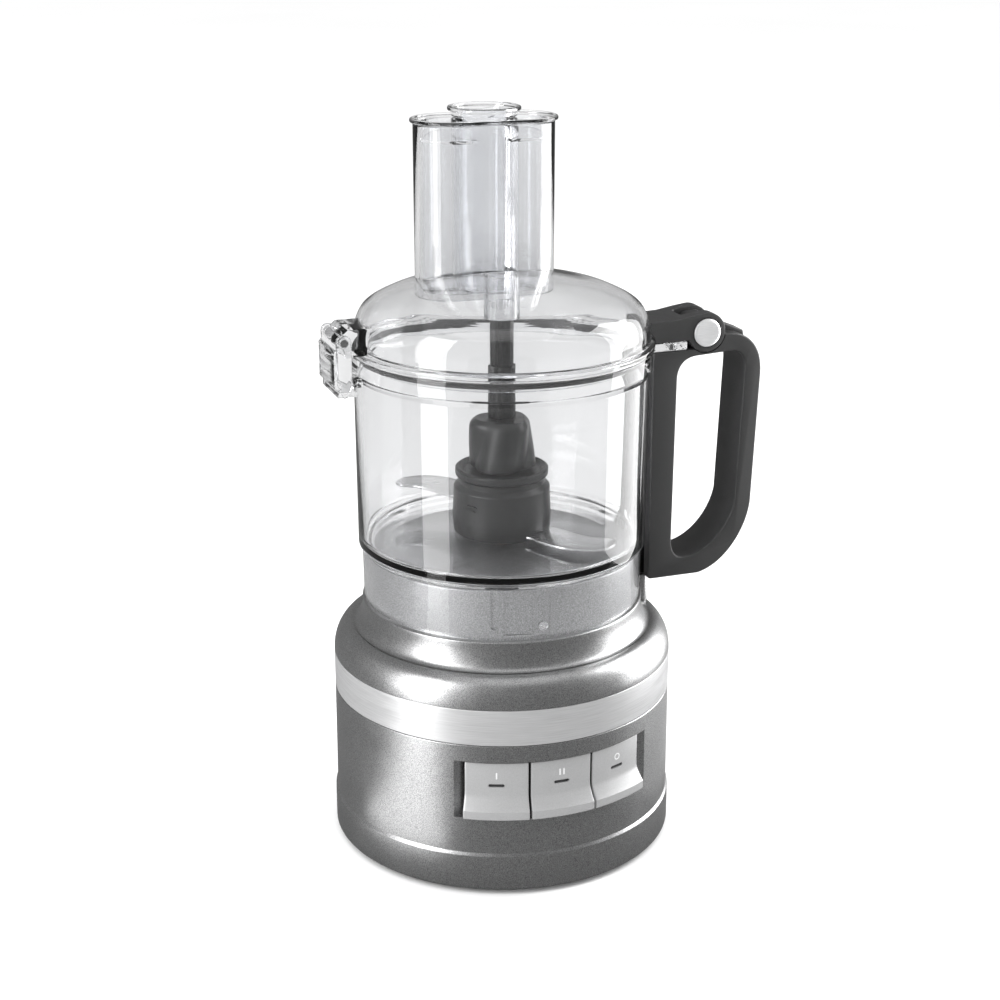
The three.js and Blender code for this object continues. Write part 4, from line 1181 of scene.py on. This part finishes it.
piece("housing", base_housing(), "base", SILVER, ["base_housing"])
piece("band", trim_band(), "base", BAND, ["trim_band"])
piece("shoulder", shoulder_cover(), "base", SILVER, ["shoulder_cover"])
piece("seat", bowl_seat(), "base", SILVER, ["bowl_seat"])
piece("seat_screw", seat_screw(), "base", STEEL)
piece("post", interlock_post(), "base", SILVER, ["interlock_post"])
for number in range(1, 5):
    name = f"foot_{number}"
    piece(f"rubber_{name}", rubber_foot(number), "base", RUBBER, [name])
piece("bush", cord_bush(), "base", RUBBER, ["cord_bush"])

for index, kind in enumerate(("low", "high", "pulse")):
    direction = (index - 1) * BUTTON_PITCH
    body = f"{kind}_button"
    node = f"button_{kind}"
    piece(f"paddle_{kind}", paddle(direction), body, SATIN, [node])
    piece(f"lamp_{kind}", lamp_bar(direction), body, BLACK_AND_PAINTED_SHADE)
    piece(f"symbol_{kind}", symbol(kind, direction), body, INK)

piece("clear_bowl", clear_bowl(), "bowl_body", CLEAR, ["bowl"])
piece("grip", handle_grip(), "bowl_body", SOFT, ["handle_grip"])
piece("screw", strap_screw(), "bowl_body", STEEL, ["strap_screw"])

piece("hub", blade_hub(), "knife", BLACK, ["blade_hub"])
piece("knob", blade_grip(), "knife", BLACK, ["blade_grip"], 24)
piece("stem", blade_stem(), "knife", BLACK, ["blade_stem"])
for node, direction in (("upper_blade", 214), ("lower_blade", 34)):
    level = extent(node)[0].z
    piece(f"ground_{node}", steel_blade(direction, level), "knife", STEEL, [node])

piece("clear_lid", clear_lid(), "lid_body", CLEAR, ["lid"])
piece("seal", lid_seal(), "lid_body", RUBBER, ["lid_seal"])
piece("arm", hinge_arm(), "lid_body", SOFT, ["hinge_arm"])
for end in ("front", "rear"):
    node = f"hinge_cap_{end}"
    piece(f"cap_{end}", hinge_cap(node), "lid_body", CAP, [node])
piece("lever", latch_lever(), "latch_body", CLEAR, ["latch"])
for name, shape, body, node in (
    ("chute_pusher", large_pusher(), "large_pusher", "pusher_large"),
    ("inner_pusher", small_pusher(), "small_pusher", "pusher_small"),
):
    piece(name, shape, body, PUSHER_CLEAR, [node])

carried_over = {
    SATIN: ["bottom_cover"],
    # The button bezel is black as painted shade in the gaps round the paddles.
    BLACK_AND_PAINTED_SHADE: ["button_bezel", "interlock_switch"],
    STEEL: [
        "motor_can", "interlock_spring", "motor_pinion", "drive_spindle", "hinge_pin", "latch_pin",
        *[f"cover_screw_{number}" for number in range(1, 5)],
    ],
    BOARD: ["switch_board", "control_board"],
    NYLON: ["chassis_plate", "interlock_plunger", "motor_fan", "driven_gear"],
    BRONZE: ["spindle_bearing_lower", "spindle_bearing_upper"],
    ARMATURE: ["motor_rotor"],
    BLACK: ["drive_coupling", "interlock_rod"],
}
for finish, nodes in carried_over.items():
    for node in nodes:
        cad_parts[node].data.materials.clear()
        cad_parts[node].data.materials.append(finish)

# Floor, light and camera ------------------------------------------------------------------


def pale_floor():
    """Pale to look at, but dark where gloss mirrors it and duller through clear plastic."""
    pale = Finish("pale_floor", (0.9, 0.9, 0.9), 0.9)
    pale.speckle(900, 0.01)
    shown = pale.shader.outputs["BSDF"]
    for ray, level in (("Is Glossy Ray", FLOOR_REFLECTED), ("Is Transmission Ray", FLOOR_THROUGH)):
        duller = pale.nodes.new("ShaderNodeBsdfDiffuse")
        duller.inputs["Color"].default_value = (level, level, level, 1)
        shown = by_ray(pale.material.node_tree, ray, shown, duller.outputs["BSDF"])
    pale.links.new(shown, pale.nodes["Material Output"].inputs["Surface"])
    return pale.material


def studio_floor():
    bm = bmesh.new()
    bmesh.ops.create_grid(bm, x_segments=1, y_segments=1, size=9)
    mesh = bpy.data.meshes.new("floor")
    bm.to_mesh(mesh)
    bm.free()
    floor = bpy.data.objects.new("floor", mesh)
    bpy.context.scene.collection.objects.link(floor)
    mesh.materials.append(pale_floor())


def heading(azimuth, elevation=0):
    """Points away from the object, in a direction given in degrees."""
    a, e = math.radians(azimuth), math.radians(elevation)
    return Vector((math.sin(a) * math.cos(e), -math.cos(a) * math.cos(e), math.sin(e)))


def area_light(name, place, turn, size, power):
    light = bpy.data.lights.new(name, "AREA")
    light.shape = "RECTANGLE"
    light.size, light.size_y = size
    light.energy = power
    lamp = bpy.data.objects.new(name, light)
    lamp.location = place
    lamp.rotation_euler = turn.to_euler()
    bpy.context.scene.collection.objects.link(lamp)
    return lamp


def softbox(name, azimuth, elevation, distance, size, power):
    """An area light that looks at the middle of the object from a direction."""
    away = heading(azimuth, elevation)
    turn = (-away).to_track_quat("-Z", "Y")
    area_light(name, AIM + away * distance, turn, size, power)


def light_strip(name, azimuth, width, power, floor_power):
    """A tall light close beside the object and one on the floor before it. Both show only
    as reflections."""
    away, up = heading(azimuth), Vector((0, 0, 1))
    standing = away * STRIP_DISTANCE + up * STRIP_HEIGHT / 2
    upright_turn = (-away).to_track_quat("-Z", "Y")
    lying = away * FLOOR_STRIP_DISTANCE + up * 0.002
    lying_turn = Matrix((up.cross(away), away, -up)).transposed().to_quaternion()
    for end, place, turn, size, energy in (
        ("", standing, upright_turn, (width, STRIP_HEIGHT), power),
        ("_floor", lying, lying_turn, (width * 0.7, FLOOR_STRIP_LENGTH), floor_power),
    ):
        lamp = area_light(name + end, AXIS + place, turn, size, energy)
        lamp.visible_camera = lamp.visible_diffuse = lamp.visible_transmission = False


ROOM_LIGHT = 1.18
ROOM_REFLECTED = 0.22
ROOM_THROUGH = 0.85
FLOOR_REFLECTED = 0.13
FLOOR_THROUGH = 0.62
STRIP_HEIGHT = 0.6
STRIP_DISTANCE = 0.45
FLOOR_STRIP_LENGTH = 0.32
FLOOR_STRIP_DISTANCE = 0.288
VIEW_AZIMUTH = -20
VIEW_ELEVATION = 18.6
VIEW_DISTANCE = 1.035
VIEW_SLIDE = 0.00093  # the camera stands this far left of the spindle's plane
LENS = 68.2
AIM = Vector((AXIS.x, 0, 0.1895))


def photo_camera():
    away, right = heading(VIEW_AZIMUTH, VIEW_ELEVATION), heading(VIEW_AZIMUTH + 90)
    data = bpy.data.cameras.new("camera")
    data.lens = LENS
    data.sensor_width = 36
    camera = bpy.data.objects.new("camera", data)
    camera.location = AIM + away * VIEW_DISTANCE - right * VIEW_SLIDE
    camera.rotation_euler = (-away).to_track_quat("-Z", "Y").to_euler()
    bpy.context.scene.collection.objects.link(camera)
    bpy.context.scene.camera = camera


def studio_world():
    """Even white light all round. Gloss mirrors a darker room, and clear plastic dulls it."""
    world = bpy.data.worlds.new("studio")
    world.use_nodes = True
    nodes, links = world.node_tree.nodes, world.node_tree.links
    nodes["Background"].inputs["Color"].default_value = (1, 1, 1, 1)
    nodes["Background"].inputs["Strength"].default_value = ROOM_REFLECTED
    shown = nodes["Background"].outputs["Background"]
    for ray, level in (
        ("Is Diffuse Ray", ROOM_LIGHT), ("Is Camera Ray", ROOM_LIGHT),
        ("Is Transmission Ray", ROOM_THROUGH),
    ):
        room = nodes.new("ShaderNodeBackground")
        room.inputs["Color"].default_value = (1, 1, 1, 1)
        room.inputs["Strength"].default_value = level
        shown = by_ray(world.node_tree, ray, shown, room.outputs["Background"])
    links.new(shown, nodes["World Output"].inputs["Surface"])
    bpy.context.scene.world = world


studio_floor()
studio_world()
softbox("left_box", VIEW_AZIMUTH - 56, 22, 1.7, (0.7, 1.7), 20)
softbox("right_box", VIEW_AZIMUTH + 112, 22, 1.7, (0.9, 1.7), 26)
softbox("top_box", VIEW_AZIMUTH + 10, 80, 1.6, (1.4, 1.4), 5)
light_strip("left_strip", VIEW_AZIMUTH - 49, 0.17, 1.8, 0.24)
light_strip("right_strip", VIEW_AZIMUTH + 106, 0.38, 3.4, 0.08)
photo_camera()

scene = bpy.context.scene
scene.view_settings.view_transform = "Standard"
scene.cycles.max_bounces = 28
scene.cycles.transmission_bounces = 28
scene.cycles.glossy_bounces = 6
scene.cycles.transparent_max_bounces = 32
